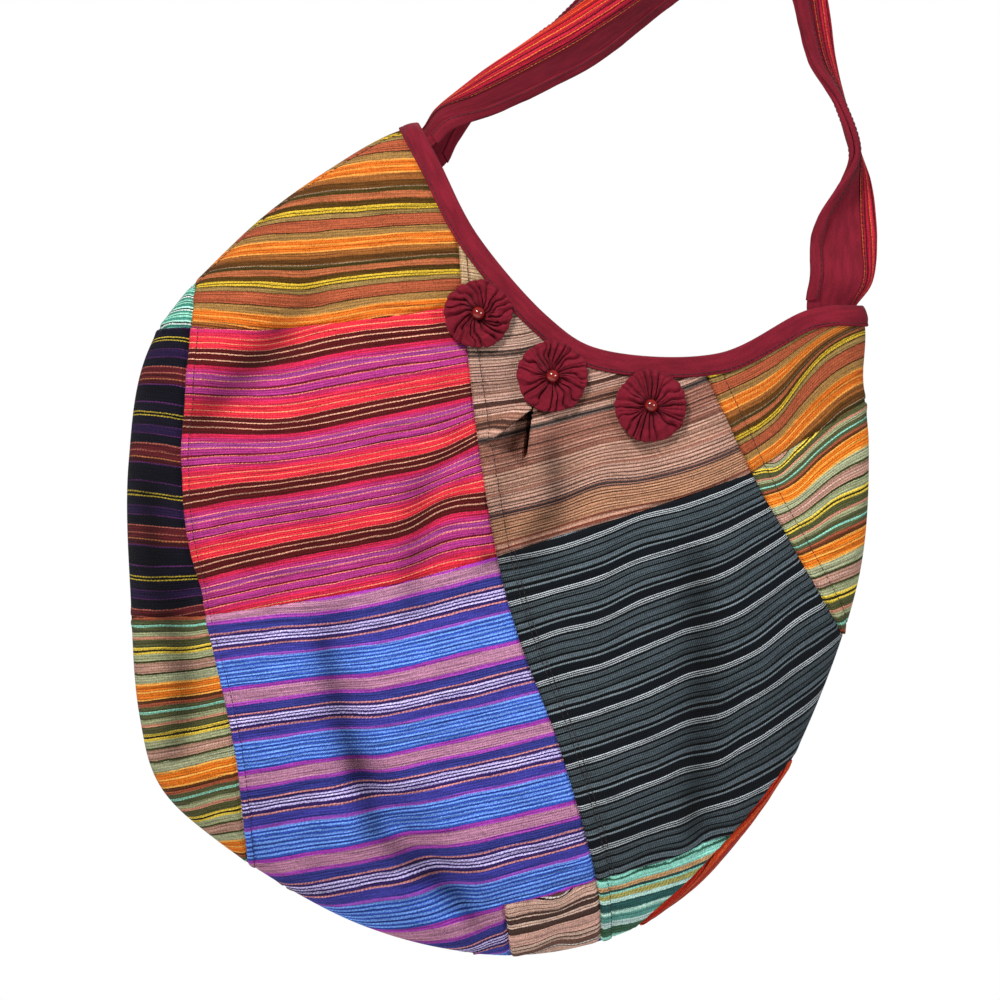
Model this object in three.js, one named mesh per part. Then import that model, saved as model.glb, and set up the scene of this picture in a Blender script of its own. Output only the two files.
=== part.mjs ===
// A slouchy patchwork shoulder bag that hangs by its strap: a front and a back panel pieced from striped
// cloths, a bound mouth, a strap folded along its length, and three gathered rosettes with a bead each.
// Millimetres, +Z up, the front faces -Y. The origin is the underside of the strap at its highest point.
import * as THREE from "three";

// Driving dimensions
const mouthLine = -220; // height of the straight line between the two corners of the mouth
const clothWall = 2; // thickness of the patchwork
const clearance = 0.3; // gap between pieces that are sewn together
const seamInset = 0.4; // how far a patch stops short of the middle of a seam
const bodyCentre = { x: -15, drop: 235 }; // the middle of a panel, as a drop below the mouth line
const frontSwell = 46; // how far a panel swells at its middle, beyond the rolled edge
const backSwell = 38;
const crown = 1.3; // above 1 the swell is flat in the middle and steep at the edge
const slack = { fromDrop: 30, toDrop: 230, atMouth: 0.6 }; // the swell is drawn in towards the mouth
const edgeRoll = 9; // half the thickness of the soft rolled edge
const edgeTightness = 56; // power that keeps the roll close to the outline
const tipCut = 4; // a patch that narrows to a point stops this far from it
const bindingWidth = 9.4; // of the folded strip along the rim, on each face
const bindingWall = 1;
const bindingFit = 0.6; // gap between the binding and the cloth inside it
const strapHalfWidth = 37; // nominal; the plain border beside the band gives way where it is narrower
const strapWall = 1.8;
const bandHalfWidth = 10.5;
const bandWall = 0.8;
const strapEdgeWidth = 6;
const strapEdgeWall = 0.8;
const strapEdgeFit = 0.55; // gap between the strap and the binding folded over its edge
const edgeStart = strapHalfWidth - strapEdgeWidth;
const rosettePleats = 14;
const rosetteLift = 2.2; // from the panel to the underside of a rosette, clear of the binding
const beadRadius = 3.8;

// The panel's outline in front view; the last three rows close it over the open mouth
const outline = [
  { x: -141, drop: -2 },
  { x: -180, drop: 43 },
  { x: -212, drop: 98 },
  { x: -236, drop: 174 },
  { x: -222, drop: 243 },
  { x: -190, drop: 318 },
  { x: -161, drop: 376 },
  { x: -135, drop: 409 },
  { x: -92, drop: 426 },
  { x: 5, drop: 440 },
  { x: 85, drop: 426 },
  { x: 138, drop: 395 },
  { x: 174, drop: 350 },
  { x: 195, drop: 288 },
  { x: 201, drop: 225 },
  { x: 195, drop: 140 },
  { x: 172, drop: 70 },
  { x: 155.5, drop: 38 },
  { x: 138, drop: -1 },
  { x: 75, drop: -28 },
  { x: 0, drop: -34 },
  { x: -75, drop: -28 },
];

// The scooped rim between the two corners of the mouth
const rim = [
  { x: -122, drop: 13.8 },
  { x: -84, drop: 46.1 },
  { x: -28.4, drop: 74.3 },
  { x: 12, drop: 79.3 },
  { x: 71.8, drop: 56.1 },
  { x: 109.6, drop: 13.8 },
];

// Places where seams meet; those of the next two tables lie on the outline and on the rim
const junctions = {
  amberLeft: { x: -218, drop: 156 },
  blueLeft: { x: -148, drop: 308 },
  amberRight: { x: -76.5, drop: 85 },
  taupeLow: { x: -3.4, drop: 212 },
  mintLeft: { x: 121, drop: 364 },
  mintRight: { x: 185, drop: 311 },
  cocoaTop: { x: 76.6, drop: 397 },
  citrusLeft: { x: 115, drop: 111.5 },
  backUpLeft: { x: -82, drop: 196 },
  backUpRight: { x: 86, drop: 224 },
};
const onOutline = {
  leftTip: { x: -141, drop: -2 },
  sideTop: { x: -226, drop: 132 },
  tealLow: { x: -234, drop: 164 },
  oliveTop: { x: -186, drop: 325 },
  sideLow: { x: -70, drop: 429 },
  cocoaLow: { x: 90, drop: 421 },
  middleLow: { x: 137, drop: 396 },
  redLow: { x: 154, drop: 379 },
  redTop: { x: 198, drop: 256 },
  cornerLow: { x: 200, drop: 178 },
  citrusRight: { x: 161, drop: 47 },
  rightTip: { x: 138, drop: -1 },
  backLeft: { x: -232, drop: 150 },
  backRight: { x: 200, drop: 245 },
  backLowLeft: { x: -45, drop: 434 },
  backLowRight: { x: 70, drop: 430 },
};
const onRim = { middleTop: -102, cornerTop: 62, backTopLeft: -62, backTopRight: 58 };

// Seams, from junction to junction, with the places that bend them
const seams = {
  side: [
    "sideTop", "amberLeft", { x: -206, drop: 197 }, { x: -190, drop: 240 }, { x: -172, drop: 274 },
    "blueLeft", { x: -118, drop: 349 }, { x: -95, drop: 385 }, "sideLow",
  ],
  middle: [
    "middleTop", "amberRight", { x: -39, drop: 154 }, "taupeLow", { x: 27, drop: 252 },
    { x: 73, drop: 302 }, "mintLeft", "middleLow",
  ],
  corner: ["cornerTop", "citrusLeft", { x: 150, drop: 139 }, "cornerLow"],
  lowCorner: ["redTop", "mintRight", { x: 174, drop: 338 }, "redLow"],
  tealRow: ["tealLow", "amberLeft"],
  oliveRow: ["oliveTop", "blueLeft"],
  amberRow: ["amberLeft", { x: -186, drop: 143 }, { x: -144, drop: 124 }, "amberRight"],
  blueRow: ["blueLeft", { x: -109, drop: 285 }, { x: -55, drop: 251 }, "taupeLow"],
  cocoaRow: ["cocoaTop", { x: 99, drop: 382 }, "mintLeft"],
  dart: ["cocoaTop", "cocoaLow"],
  taupeRow: ["taupeLow", { x: 27, drop: 186 }, { x: 63, drop: 157 }, "citrusLeft"],
  mintRow: ["mintLeft", { x: 153, drop: 339 }, "mintRight"],
  citrusRow: ["citrusLeft", { x: 139, drop: 78 }, "citrusRight"],
  backLeftColumn: ["backTopLeft", "backUpLeft", { x: -72, drop: 320 }, "backLowLeft"],
  backRightColumn: ["backTopRight", "backUpRight", { x: 90, drop: 330 }, "backLowRight"],
  backLeftRow: ["backLeft", { x: -158, drop: 181 }, "backUpLeft"],
  backMiddleRow: ["backUpLeft", { x: 0, drop: 220 }, "backUpRight"],
  backRightRow: ["backUpRight", { x: 144, drop: 231 }, "backRight"],
};

// Folds of the panels: a ridge, or a valley where the height is negative, from one place to another
const folds = {
  front: [
    { x: -18, drop: 128, toX: -17, toDrop: 150, width: 7, height: -6.5 },
    { x: -31, drop: 140, toX: -40, toDrop: 160, width: 6, height: 2.4 },
    { x: -5, drop: 134, toX: -3, toDrop: 158, width: 7, height: 2.2 },
    { x: -46, drop: 165, toX: -53, toDrop: 180, width: 8, height: -3.5 },
    { x: 14, drop: 136, toX: 34, toDrop: 178, width: 11, height: 3 },
    { x: 50, drop: 128, toX: 72, toDrop: 150, width: 10, height: -2.4 },
    { x: 66, drop: 178, toX: 128, toDrop: 270, width: 16, height: -3.5 },
    { x: 96, drop: 140, toX: 160, toDrop: 214, width: 15, height: 3.2 },
    { x: -74, drop: 287, toX: -28, toDrop: 362, width: 15, height: -4 },
    { x: -28, drop: 362, toX: 52, toDrop: 408, width: 13, height: -4.5 },
    { x: 10, drop: 350, toX: 62, toDrop: 384, width: 14, height: 3.2 },
    { x: -190, drop: 200, toX: -120, toDrop: 215, width: 16, height: 2 },
  ],
  back: [
    { x: -40, drop: 120, toX: -70, toDrop: 250, width: 20, height: -4 },
    { x: 40, drop: 120, toX: 96, toDrop: 270, width: 20, height: -4 },
    { x: -120, drop: 330, toX: 60, toDrop: 372, width: 18, height: -3 },
  ],
};

// The strap's sections from the left root to the right: the place of the fold on the outer side, the roll
// that turns the outer face to the front, the angle through which the strap is folded along its length,
// the width in front of and behind the fold, and how far to either side of it the strap bends
const strapSections = [
  { x: -134, drop: -17, y: 0, roll: 10, fold: 150, front: 20.5, back: 26, bend: 14 },
  { x: -119, drop: -36.5, y: -5, roll: 40, fold: 158, front: 25, back: 27, bend: 13 },
  { x: -98.5, drop: -67, y: -10, roll: 58, fold: 150, front: 30, back: 28.5, bend: 15 },
  { x: -81.5, drop: -94, y: -12, roll: 66, fold: 142, front: 31, back: 28.5, bend: 16 },
  { x: -54, drop: -135, y: -10, roll: 60, fold: 125, front: 31, back: 28.5, bend: 17 },
  { x: -30, drop: -180, y: -5, roll: 34, fold: 100, front: 29, back: 28.5, bend: 17 },
  { x: -17, drop: -208, y: -1, roll: 10, fold: 75, front: 28.5, back: 28.5, bend: 17 },
  { x: 0, drop: -221, y: 0, roll: 0, fold: 65, front: 28.5, back: 28.5, bend: 17 },
  { x: 19, drop: -209, y: 2, roll: -12, fold: 85, front: 28.5, back: 28.5, bend: 14 },
  { x: 33, drop: -186, y: 6, roll: -36, fold: 125, front: 28.5, back: 28.5, bend: 10 },
  { x: 48, drop: -157, y: 10, roll: -64, fold: 165, front: 28.5, back: 28.5, bend: 6.5 },
  { x: 66, drop: -128.5, y: 13, roll: -82, fold: 176, front: 28.5, back: 28.5, bend: 5.2 },
  { x: 84, drop: -106, y: 14, roll: -91, fold: 178, front: 28.5, back: 28.5, bend: 5.2 },
  { x: 103, drop: -83, y: 14, roll: -91, fold: 178, front: 29, back: 29, bend: 5.2 },
  { x: 113, drop: -71, y: 12, roll: -73, fold: 178, front: 30, back: 30, bend: 5.2 },
  { x: 123, drop: -55, y: 7, roll: -44, fold: 176, front: 34, back: 33, bend: 5.5 },
  { x: 131, drop: -38, y: 3, roll: -20, fold: 170, front: 37.5, back: 36, bend: 8 },
  { x: 136.5, drop: -17, y: 0, roll: -5, fold: 152, front: 37, back: 36, bend: 13 },
];
const strapRootDrops = [9, -2.4]; // how far below the rim the strap's end lies, and where it comes out
const strapRoots = { left: { front: 22, back: 27 }, right: { front: 34, back: 36 } }; // widths along the rim

// Rosettes below the rim, and the rings of a rosette from its underside to the hollow in its middle
const rosettes = [
  { x: -66.4, drop: 86.6, radius: 19.6 },
  { x: -13.1, drop: 103.7, radius: 20.6 },
  { x: 46, drop: 98.1, radius: 20.8 },
];
const rosetteRings = [
  { share: 0.9, height: 0, pleat: 0 },
  { share: 1, height: 1.6, pleat: 0.35 },
  { share: 0.95, height: 3.6, pleat: 0.8 },
  { share: 0.7, height: 5.4, pleat: 1.2 },
  { share: 0.42, height: 5.8, pleat: 1.3 },
  { share: 0.2, height: 3.8, pleat: 0.3 },
  { share: 0.09, height: 2.3, pleat: 0 },
];
const rosetteHollow = 2; // height of the middle, under the bead

const panels = {
  front: { facing: -1, swell: frontSwell, folds: folds.front },
  back: { facing: 1, swell: backSwell, folds: folds.back },
};

const spot = (row) => new THREE.Vector2(row.x, mouthLine - row.drop);
const centre = spot(bodyCentre);
const dropOf = (z) => mouthLine - z;

// The outline as a distance from the body's centre for each bearing round it
const outlineCurve = new THREE.CatmullRomCurve3(
  outline.map((row) => new THREE.Vector3(row.x, 0, mouthLine - row.drop)),
  true,
  "centripetal",
);
const outlineReach = outlineCurve
  .getPoints(480)
  .map((point) => new THREE.Vector2(point.x, point.z).sub(centre))
  .map((arm) => ({ bearing: arm.angle(), reach: arm.length() }))
  .sort((a, b) => a.bearing - b.bearing);

function reachAt(bearing) {
  const turn = THREE.MathUtils.euclideanModulo(bearing, 2 * Math.PI);
  const count = outlineReach.length;
  const next = outlineReach.findIndex((sample) => sample.bearing > turn);
  const after = outlineReach[next < 0 ? 0 : next];
  const before = outlineReach[(next < 1 ? count : next) - 1];
  const wrap = (angle) => THREE.MathUtils.euclideanModulo(angle, 2 * Math.PI);
  const share = wrap(turn - before.bearing) / Math.max(wrap(after.bearing - before.bearing), 1e-9);
  return THREE.MathUtils.lerp(before.reach, after.reach, share);
}

const outlineAt = (bearing) =>
  new THREE.Vector2(Math.cos(bearing), Math.sin(bearing)).multiplyScalar(reachAt(bearing)).add(centre);

const bearingOf = (place) => place.clone().sub(centre).angle();

// How far out a place on a panel lies: 0 at the body's centre, 1 on the outline
function outwardness(x, z) {
  const arm = new THREE.Vector2(x, z).sub(centre);
  return arm.length() / reachAt(arm.angle());
}

function foldHeight(panel, x, z) {
  let height = 0;
  for (const fold of panel.folds) {
    const start = spot(fold);
    const along = spot({ x: fold.toX, drop: fold.toDrop }).sub(start);
    const arm = new THREE.Vector2(x, z).sub(start);
    const share = THREE.MathUtils.clamp(arm.dot(along) / along.lengthSq(), 0, 1);
    const away = arm.sub(along.multiplyScalar(share)).length();
    height += fold.height * Math.exp(-((away / fold.width) ** 2));
  }
  return height;
}

// The outer surface of a panel above a place in front view, with its outward direction
function panelSurface(panel, x, z) {
  const step = 0.05;
  const out = Math.min(outwardness(x, z), 1);
  const gradX = (outwardness(x + step, z) - outwardness(x - step, z)) / (2 * step);
  const gradZ = (outwardness(x, z + step) - outwardness(x, z - step)) / (2 * step);
  const full = THREE.MathUtils.smoothstep(dropOf(z), slack.fromDrop, slack.toDrop);
  const swell = panel.swell * THREE.MathUtils.lerp(slack.atMouth, 1, full);
  const roll = Math.sqrt(Math.max(1 - out ** edgeTightness, 1e-8));
  const depth = edgeRoll * roll + swell * (1 - out ** 2) * (1 + crown * out ** 2);
  const rollSlope = (-edgeRoll * edgeTightness * out ** (edgeTightness - 1)) / (2 * roll);
  const slope = rollSlope + swell * (2 * (crown - 1) * out - 4 * crown * out ** 3);
  const normal = new THREE.Vector3(-slope * gradX, panel.facing, -slope * gradZ).normalize();
  return { point: new THREE.Vector3(x, panel.facing * depth, z), normal };
}

// The same surface with its folds, half a gap away from the other panel
function foldedSurface(panel, x, z) {
  const { point, normal } = panelSurface(panel, x, z);
  point.addScaledVector(normal, foldHeight(panel, x, z));
  point.y += (panel.facing * clearance) / 2;
  return { point, normal };
}

// The rim in front view, from the left tip at 0 to the right tip at 1
const rimCurve = new THREE.SplineCurve([
  outlineAt(bearingOf(spot(onOutline.leftTip))),
  ...rim.map(spot),
  outlineAt(bearingOf(spot(onOutline.rightTip))),
]);

function rimShareAt(x) {
  let low = 0;
  let high = 1;
  for (let i = 0; i < 40; i++) {
    const middle = (low + high) / 2;
    if (rimCurve.getPoint(middle).x < x) low = middle;
    else high = middle;
  }
  return low;
}

// A part of a longer curve, between two of its parameters
class Stretch extends THREE.Curve {
  constructor(place, from, to) {
    super();
    Object.assign(this, { place, from, to });
  }
  getPoint(share) {
    return this.place(THREE.MathUtils.lerp(this.from, this.to, share));
  }
}

function junctionSpot(name) {
  if (name in onRim) return rimCurve.getPoint(rimShareAt(onRim[name]));
  if (name in onOutline) return outlineAt(bearingOf(spot(onOutline[name])));
  return spot(junctions[name]);
}

function outlineStretch(from, to) {
  const start = bearingOf(junctionSpot(from));
  const turn = bearingOf(junctionSpot(to)) - start;
  const shortest = Math.atan2(Math.sin(turn), Math.cos(turn));
  return new Stretch(outlineAt, start, start + shortest);
}

function rimStretch(from, to) {
  const ends = { leftTip: 0, rightTip: 1 };
  const shareOf = (name) => ends[name] ?? rimShareAt(onRim[name]);
  return new Stretch((share) => rimCurve.getPoint(share), shareOf(from), shareOf(to));
}

function seamStretch(seam, from, to) {
  const places = seams[seam].map((place) => (typeof place === "string" ? junctionSpot(place) : spot(place)));
  const curve = new THREE.SplineCurve(places);
  const shareOf = (name) => seams[seam].indexOf(name) / (places.length - 1);
  return new Stretch((share) => curve.getPoint(share), shareOf(from), shareOf(to));
}

// One side of a patch: a point, or stretches that follow each other. It knows where it is a seam.
function patchSide(description) {
  if (typeof description === "string") {
    const point = junctionSpot(description);
    return { at: () => point.clone(), sewn: () => false, limb: false, isPoint: true, corners: [] };
  }
  const path = new THREE.CurvePath();
  for (const [line, from, to] of description) {
    if (line === "outline") path.add(outlineStretch(from, to));
    else if (line === "rim") path.add(rimStretch(from, to));
    else path.add(seamStretch(line, from, to));
  }
  const lengths = path.getCurveLengths();
  const whole = lengths[lengths.length - 1];
  const lineAt = (share) => description[lengths.findIndex((length) => length >= share * whole - 1e-6)][0];
  return {
    at: (share) => path.getPoint(share),
    sewn: (share) => !["outline", "rim"].includes(lineAt(share)),
    limb: description.some(([line]) => line === "outline"),
    isPoint: false,
    corners: lengths.slice(0, -1).map((length) => length / whole),
  };
}

// Shares from 0 to 1, closer together towards an end that lies on the outline or at a tip
function spread(count, closeAtStart, closeAtEnd) {
  const power = 2;
  return Array.from({ length: count + 1 }, (_, i) => {
    const share = i / count;
    if (closeAtStart && closeAtEnd) return (1 - Math.cos(Math.PI * share)) / 2;
    if (closeAtStart) return share ** power;
    if (closeAtEnd) return 1 - (1 - share) ** power;
    return share;
  });
}

// Moves the nearest inner share onto each corner inside a side, so that no corner is cut off
function throughCorners(shares, corners) {
  const moved = [...shares];
  for (const corner of corners) {
    const distances = moved.map((share, i) => (i % (moved.length - 1) === 0 ? 1 : Math.abs(share - corner)));
    moved[distances.indexOf(Math.min(...distances))] = corner;
  }
  return moved;
}

// A place inside a patch, blended from its four sides, which stop half a gap short of a seam
function patchSpot(sides, across, down) {
  const { top, right, bottom, left } = sides;
  const width = left.at(down).distanceTo(right.at(down));
  const height = top.at(across).distanceTo(bottom.at(across));
  const inset = (side, share, size) => {
    const gap = side.isPoint ? tipCut : side.sewn(share) ? seamInset : 0;
    return Math.min(gap / Math.max(size, 1e-6), 0.25);
  };
  const u = THREE.MathUtils.lerp(inset(left, down, width), 1 - inset(right, down, width), across);
  const v = THREE.MathUtils.lerp(inset(top, across, height), 1 - inset(bottom, across, height), down);
  const place = new THREE.Vector2();
  place.addScaledVector(top.at(u), 1 - v).addScaledVector(bottom.at(u), v);
  place.addScaledVector(left.at(v), 1 - u).addScaledVector(right.at(v), u);
  place.addScaledVector(top.at(0), -(1 - u) * (1 - v)).addScaledVector(top.at(1), -u * (1 - v));
  place.addScaledVector(bottom.at(0), -(1 - u) * v).addScaledVector(bottom.at(1), -u * v);
  return place;
}

// A closed mesh from rings of points: each ring closed, the first and last rings capped or joined.
// A face is split along its other diagonal where the ring runs back, so that layers lie parallel.
function ringGeometry(rings, ends, runsBack = () => false) {
  const size = rings[0].length;
  const positions = rings.flat().flatMap((point) => [point.x, point.y, point.z]);
  const faces = [];
  const last = ends === "joined" ? rings.length : rings.length - 1;
  for (let i = 0; i < last; i++) {
    const here = i * size;
    const there = ((i + 1) % rings.length) * size;
    for (let j = 0; j < size; j++) {
      const next = (j + 1) % size;
      if (runsBack(j)) faces.push(here + j, there + j, here + next, there + j, there + next, here + next);
      else faces.push(here + j, there + j, there + next, here + j, there + next, here + next);
    }
  }
  if (ends !== "joined") {
    for (const [ring, turned] of [[0, false], [rings.length - 1, true]]) {
      const start = ring * size;
      for (const [a, b, c] of ends) {
        faces.push(start + a, start + (turned ? c : b), start + (turned ? b : c));
      }
    }
  }
  const geometry = new THREE.BufferGeometry();
  geometry.setAttribute("position", new THREE.Float32BufferAttribute(positions, 3));
  geometry.setIndex(faces);
  return facingOut(geometry);
}

// Turns the faces round where the mesh encloses a negative volume
function facingOut(geometry) {
  const position = geometry.getAttribute("position");
  const index = geometry.getIndex().array;
  const [a, b, c] = [new THREE.Vector3(), new THREE.Vector3(), new THREE.Vector3()];
  let volume = 0;
  for (let i = 0; i < index.length; i += 3) {
    a.fromBufferAttribute(position, index[i]);
    b.fromBufferAttribute(position, index[i + 1]);
    c.fromBufferAttribute(position, index[i + 2]);
    volume += a.dot(b.cross(c));
  }
  if (volume < 0) geometry.setIndex(Array.from(index).reverse());
  geometry.computeVertexNormals();
  return geometry;
}

// A sheet with a thickness: each ring runs across the outer face and back across the inner one
function sheetGeometry(columns, rows, place, wall) {
  const rings = rows.map((down) => {
    const outer = columns.map((across) => place(across, down));
    const inner = outer.map(({ point, normal }) => point.clone().addScaledVector(normal, -wall));
    return [...outer.map(({ point }) => point), ...inner.reverse()];
  });
  const count = columns.length;
  const cap = [];
  for (let i = 0; i + 1 < count; i++) {
    const [outer, nextOuter] = [i, i + 1];
    const [inner, nextInner] = [2 * count - 1 - i, 2 * count - 2 - i];
    cap.push([outer, nextOuter, nextInner], [outer, nextInner, inner]);
  }
  return ringGeometry(rings, cap, (j) => j >= count);
}

function patchGeometry(patch) {
  const panel = panels[patch.panel];
  const sides = {};
  for (const name of ["top", "right", "bottom", "left"]) sides[name] = patchSide(patch[name]);
  const close = (side) => side.limb || side.isPoint;
  const evenColumns = spread(patch.columns, close(sides.left), close(sides.right));
  const evenRows = spread(patch.rows, close(sides.top) || patch.closeTop, close(sides.bottom));
  const columns = throughCorners(evenColumns, [...sides.top.corners, ...sides.bottom.corners]);
  const rows = throughCorners(evenRows, [...sides.left.corners, ...sides.right.corners]);
  const place = (across, down) => {
    const { x, y: z } = patchSpot(sides, across, down);
    return foldedSurface(panel, x, z);
  };
  return sheetGeometry(columns, rows, place, clothWall);
}

const patches = [
  {
    name: "patch_front_teal", colour: 0x5d9c8a, panel: "front", columns: 6, rows: 6,
    top: "sideTop", right: [["side", "sideTop", "amberLeft"]],
    bottom: [["tealRow", "tealLow", "amberLeft"]], left: [["outline", "sideTop", "tealLow"]],
  },
  {
    name: "patch_front_navy", colour: 0x2a2238, panel: "front", columns: 6, rows: 8,
    top: [["tealRow", "tealLow", "amberLeft"]], right: [["side", "amberLeft", "blueLeft"]],
    bottom: [["oliveRow", "oliveTop", "blueLeft"]], left: [["outline", "tealLow", "oliveTop"]],
  },
  {
    name: "patch_front_olive", colour: 0x66724a, panel: "front", columns: 6, rows: 9,
    top: [["oliveRow", "oliveTop", "blueLeft"]], right: [["side", "blueLeft", "sideLow"]],
    bottom: "sideLow", left: [["outline", "oliveTop", "sideLow"]],
  },
  {
    name: "patch_front_amber", colour: 0xb47a35, panel: "front", columns: 9, rows: 11,
    top: "leftTip", right: [["rim", "leftTip", "middleTop"], ["middle", "middleTop", "amberRight"]],
    bottom: [["side", "sideTop", "amberLeft"], ["amberRow", "amberLeft", "amberRight"]],
    left: [["outline", "leftTip", "sideTop"]],
  },
  {
    name: "patch_front_magenta", colour: 0x9c2f55, panel: "front", columns: 8, rows: 9,
    top: [["amberRow", "amberLeft", "amberRight"]], right: [["middle", "amberRight", "taupeLow"]],
    bottom: [["blueRow", "blueLeft", "taupeLow"]], left: [["side", "amberLeft", "blueLeft"]],
  },
  {
    name: "patch_front_blue", colour: 0x4a5fa8, panel: "front", columns: 10, rows: 12,
    top: [["blueRow", "blueLeft", "taupeLow"]],
    right: [["middle", "taupeLow", "mintLeft"], ["cocoaRow", "mintLeft", "cocoaTop"],
      ["dart", "cocoaTop", "cocoaLow"]],
    bottom: [["outline", "sideLow", "cocoaLow"]], left: [["side", "blueLeft", "sideLow"]],
  },
  {
    name: "patch_front_cocoa", colour: 0xa98673, panel: "front", columns: 4, rows: 5,
    top: [["cocoaRow", "cocoaTop", "mintLeft"]], right: [["middle", "mintLeft", "middleLow"]],
    bottom: [["outline", "cocoaLow", "middleLow"]], left: [["dart", "cocoaTop", "cocoaLow"]],
  },
  {
    name: "patch_front_taupe", colour: 0xb08c7c, panel: "front", columns: 14, rows: 11,
    top: [["rim", "middleTop", "cornerTop"]], right: [["corner", "cornerTop", "citrusLeft"]],
    bottom: [["taupeRow", "taupeLow", "citrusLeft"]],
    left: [["middle", "middleTop", "taupeLow"]],
  },
  {
    name: "patch_front_charcoal", colour: 0x2b3136, panel: "front", columns: 9, rows: 11,
    top: [["taupeRow", "taupeLow", "citrusLeft"]],
    right: [["corner", "citrusLeft", "cornerLow"], ["outline", "cornerLow", "redTop"]],
    bottom: [["mintRow", "mintLeft", "mintRight"], ["lowCorner", "mintRight", "redTop"]],
    left: [["middle", "taupeLow", "mintLeft"]],
  },
  {
    name: "patch_front_mint", colour: 0x8fb9a4, panel: "front", columns: 6, rows: 6,
    top: [["mintRow", "mintLeft", "mintRight"]], right: [["lowCorner", "mintRight", "redLow"]],
    bottom: [["outline", "middleLow", "redLow"]], left: [["middle", "mintLeft", "middleLow"]],
  },
  {
    name: "patch_front_citrus_upper", colour: 0xb57f45, panel: "front", columns: 11, rows: 7,
    top: [["rim", "cornerTop", "rightTip"]], right: [["outline", "rightTip", "citrusRight"]],
    bottom: [["citrusRow", "citrusLeft", "citrusRight"]],
    left: [["corner", "cornerTop", "citrusLeft"]],
  },
  {
    name: "patch_front_citrus_lower", colour: 0x7d8656, panel: "front", columns: 7, rows: 8,
    top: [["citrusRow", "citrusLeft", "citrusRight"]],
    right: [["outline", "citrusRight", "cornerLow"]], bottom: "cornerLow",
    left: [["corner", "citrusLeft", "cornerLow"]],
  },
  {
    name: "patch_front_red", colour: 0xb5392b, panel: "front", columns: 3, rows: 10,
    top: "redTop", right: [["outline", "redTop", "redLow"]], bottom: "redLow",
    left: [["lowCorner", "redTop", "redLow"]],
  },
  {
    name: "patch_back_olive", colour: 0x66724a, panel: "back", columns: 8, rows: 10,
    top: "leftTip", right: [["rim", "leftTip", "backTopLeft"],
      ["backLeftColumn", "backTopLeft", "backUpLeft"]],
    bottom: [["backLeftRow", "backLeft", "backUpLeft"]], left: [["outline", "leftTip", "backLeft"]],
  },
  {
    name: "patch_back_magenta", colour: 0x9c2f55, panel: "back", columns: 8, rows: 6,
    top: [["rim", "backTopLeft", "backTopRight"]],
    right: [["backRightColumn", "backTopRight", "backUpRight"]],
    bottom: [["backMiddleRow", "backUpLeft", "backUpRight"]],
    left: [["backLeftColumn", "backTopLeft", "backUpLeft"]],
  },
  {
    name: "patch_back_charcoal", colour: 0x2b3136, panel: "back", columns: 9, rows: 8, closeTop: true,
    top: [["rim", "backTopRight", "rightTip"]], right: [["outline", "rightTip", "backRight"]],
    bottom: [["backRightRow", "backUpRight", "backRight"]],
    left: [["backRightColumn", "backTopRight", "backUpRight"]],
  },
  {
    name: "patch_back_navy", colour: 0x2a2238, panel: "back", columns: 7, rows: 9,
    top: [["backLeftRow", "backLeft", "backUpLeft"]],
    right: [["backLeftColumn", "backUpLeft", "backLowLeft"]], bottom: "backLowLeft",
    left: [["outline", "backLeft", "backLowLeft"]],
  },
  {
    name: "patch_back_amber", colour: 0xb47a35, panel: "back", columns: 6, rows: 8,
    top: [["backMiddleRow", "backUpLeft", "backUpRight"]],
    right: [["backRightColumn", "backUpRight", "backLowRight"]],
    bottom: [["outline", "backLowLeft", "backLowRight"]],
    left: [["backLeftColumn", "backUpLeft", "backLowLeft"]],
  },
  {
    name: "patch_back_blue", colour: 0x4a5fa8, panel: "back", columns: 7, rows: 8,
    top: [["backRightRow", "backUpRight", "backRight"]], right: [["outline", "backRight", "backLowRight"]],
    bottom: "backLowRight", left: [["backRightColumn", "backUpRight", "backLowRight"]],
  },
];

// A place at a distance below the rim: along the outline at the tips, square to the rim elsewhere
function belowRim(share, distance) {
  const place = rimCurve.getPoint(share);
  const along = rimCurve.getTangent(share);
  const square = new THREE.Vector2(along.y, -along.x).multiplyScalar(distance);
  const tipName = share < 0.5 ? "leftTip" : "rightTip";
  const turn = share < 0.5 ? 1 : -1;
  const tip = junctionSpot(tipName);
  const bearing = bearingOf(tip);
  const byOutline = outlineAt(bearing + (turn * distance) / reachAt(bearing)).sub(tip);
  const tipReach = 0.1;
  const free = THREE.MathUtils.smoothstep(Math.min(share, 1 - share), 0, tipReach);
  return place.add(byOutline.lerp(square, free));
}

// A point of the mouth's edge: a share of the rim, a distance below it and a height off the cloth
function mouthPoint(panel, share, distance, height) {
  const place = belowRim(share, distance);
  const isTip = share === 0 || share === 1;
  const { point, normal } = panelSurface(panel, place.x, place.y);
  if (isTip) {
    point.y = 0;
    normal.setY(0).normalize();
  }
  const fold = isTip ? 0 : foldHeight(panel, place.x, place.y);
  return point.addScaledVector(normal, height + fold);
}

// Once round the mouth: the front from left to right, then the back from right to left
function mouthRound(count) {
  const shares = spread(count, true, true);
  const front = shares.map((share) => ({ panel: panels.front, share }));
  const back = shares.slice(1, -1).reverse().map((share) => ({ panel: panels.back, share }));
  return [...front, ...back];
}

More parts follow.
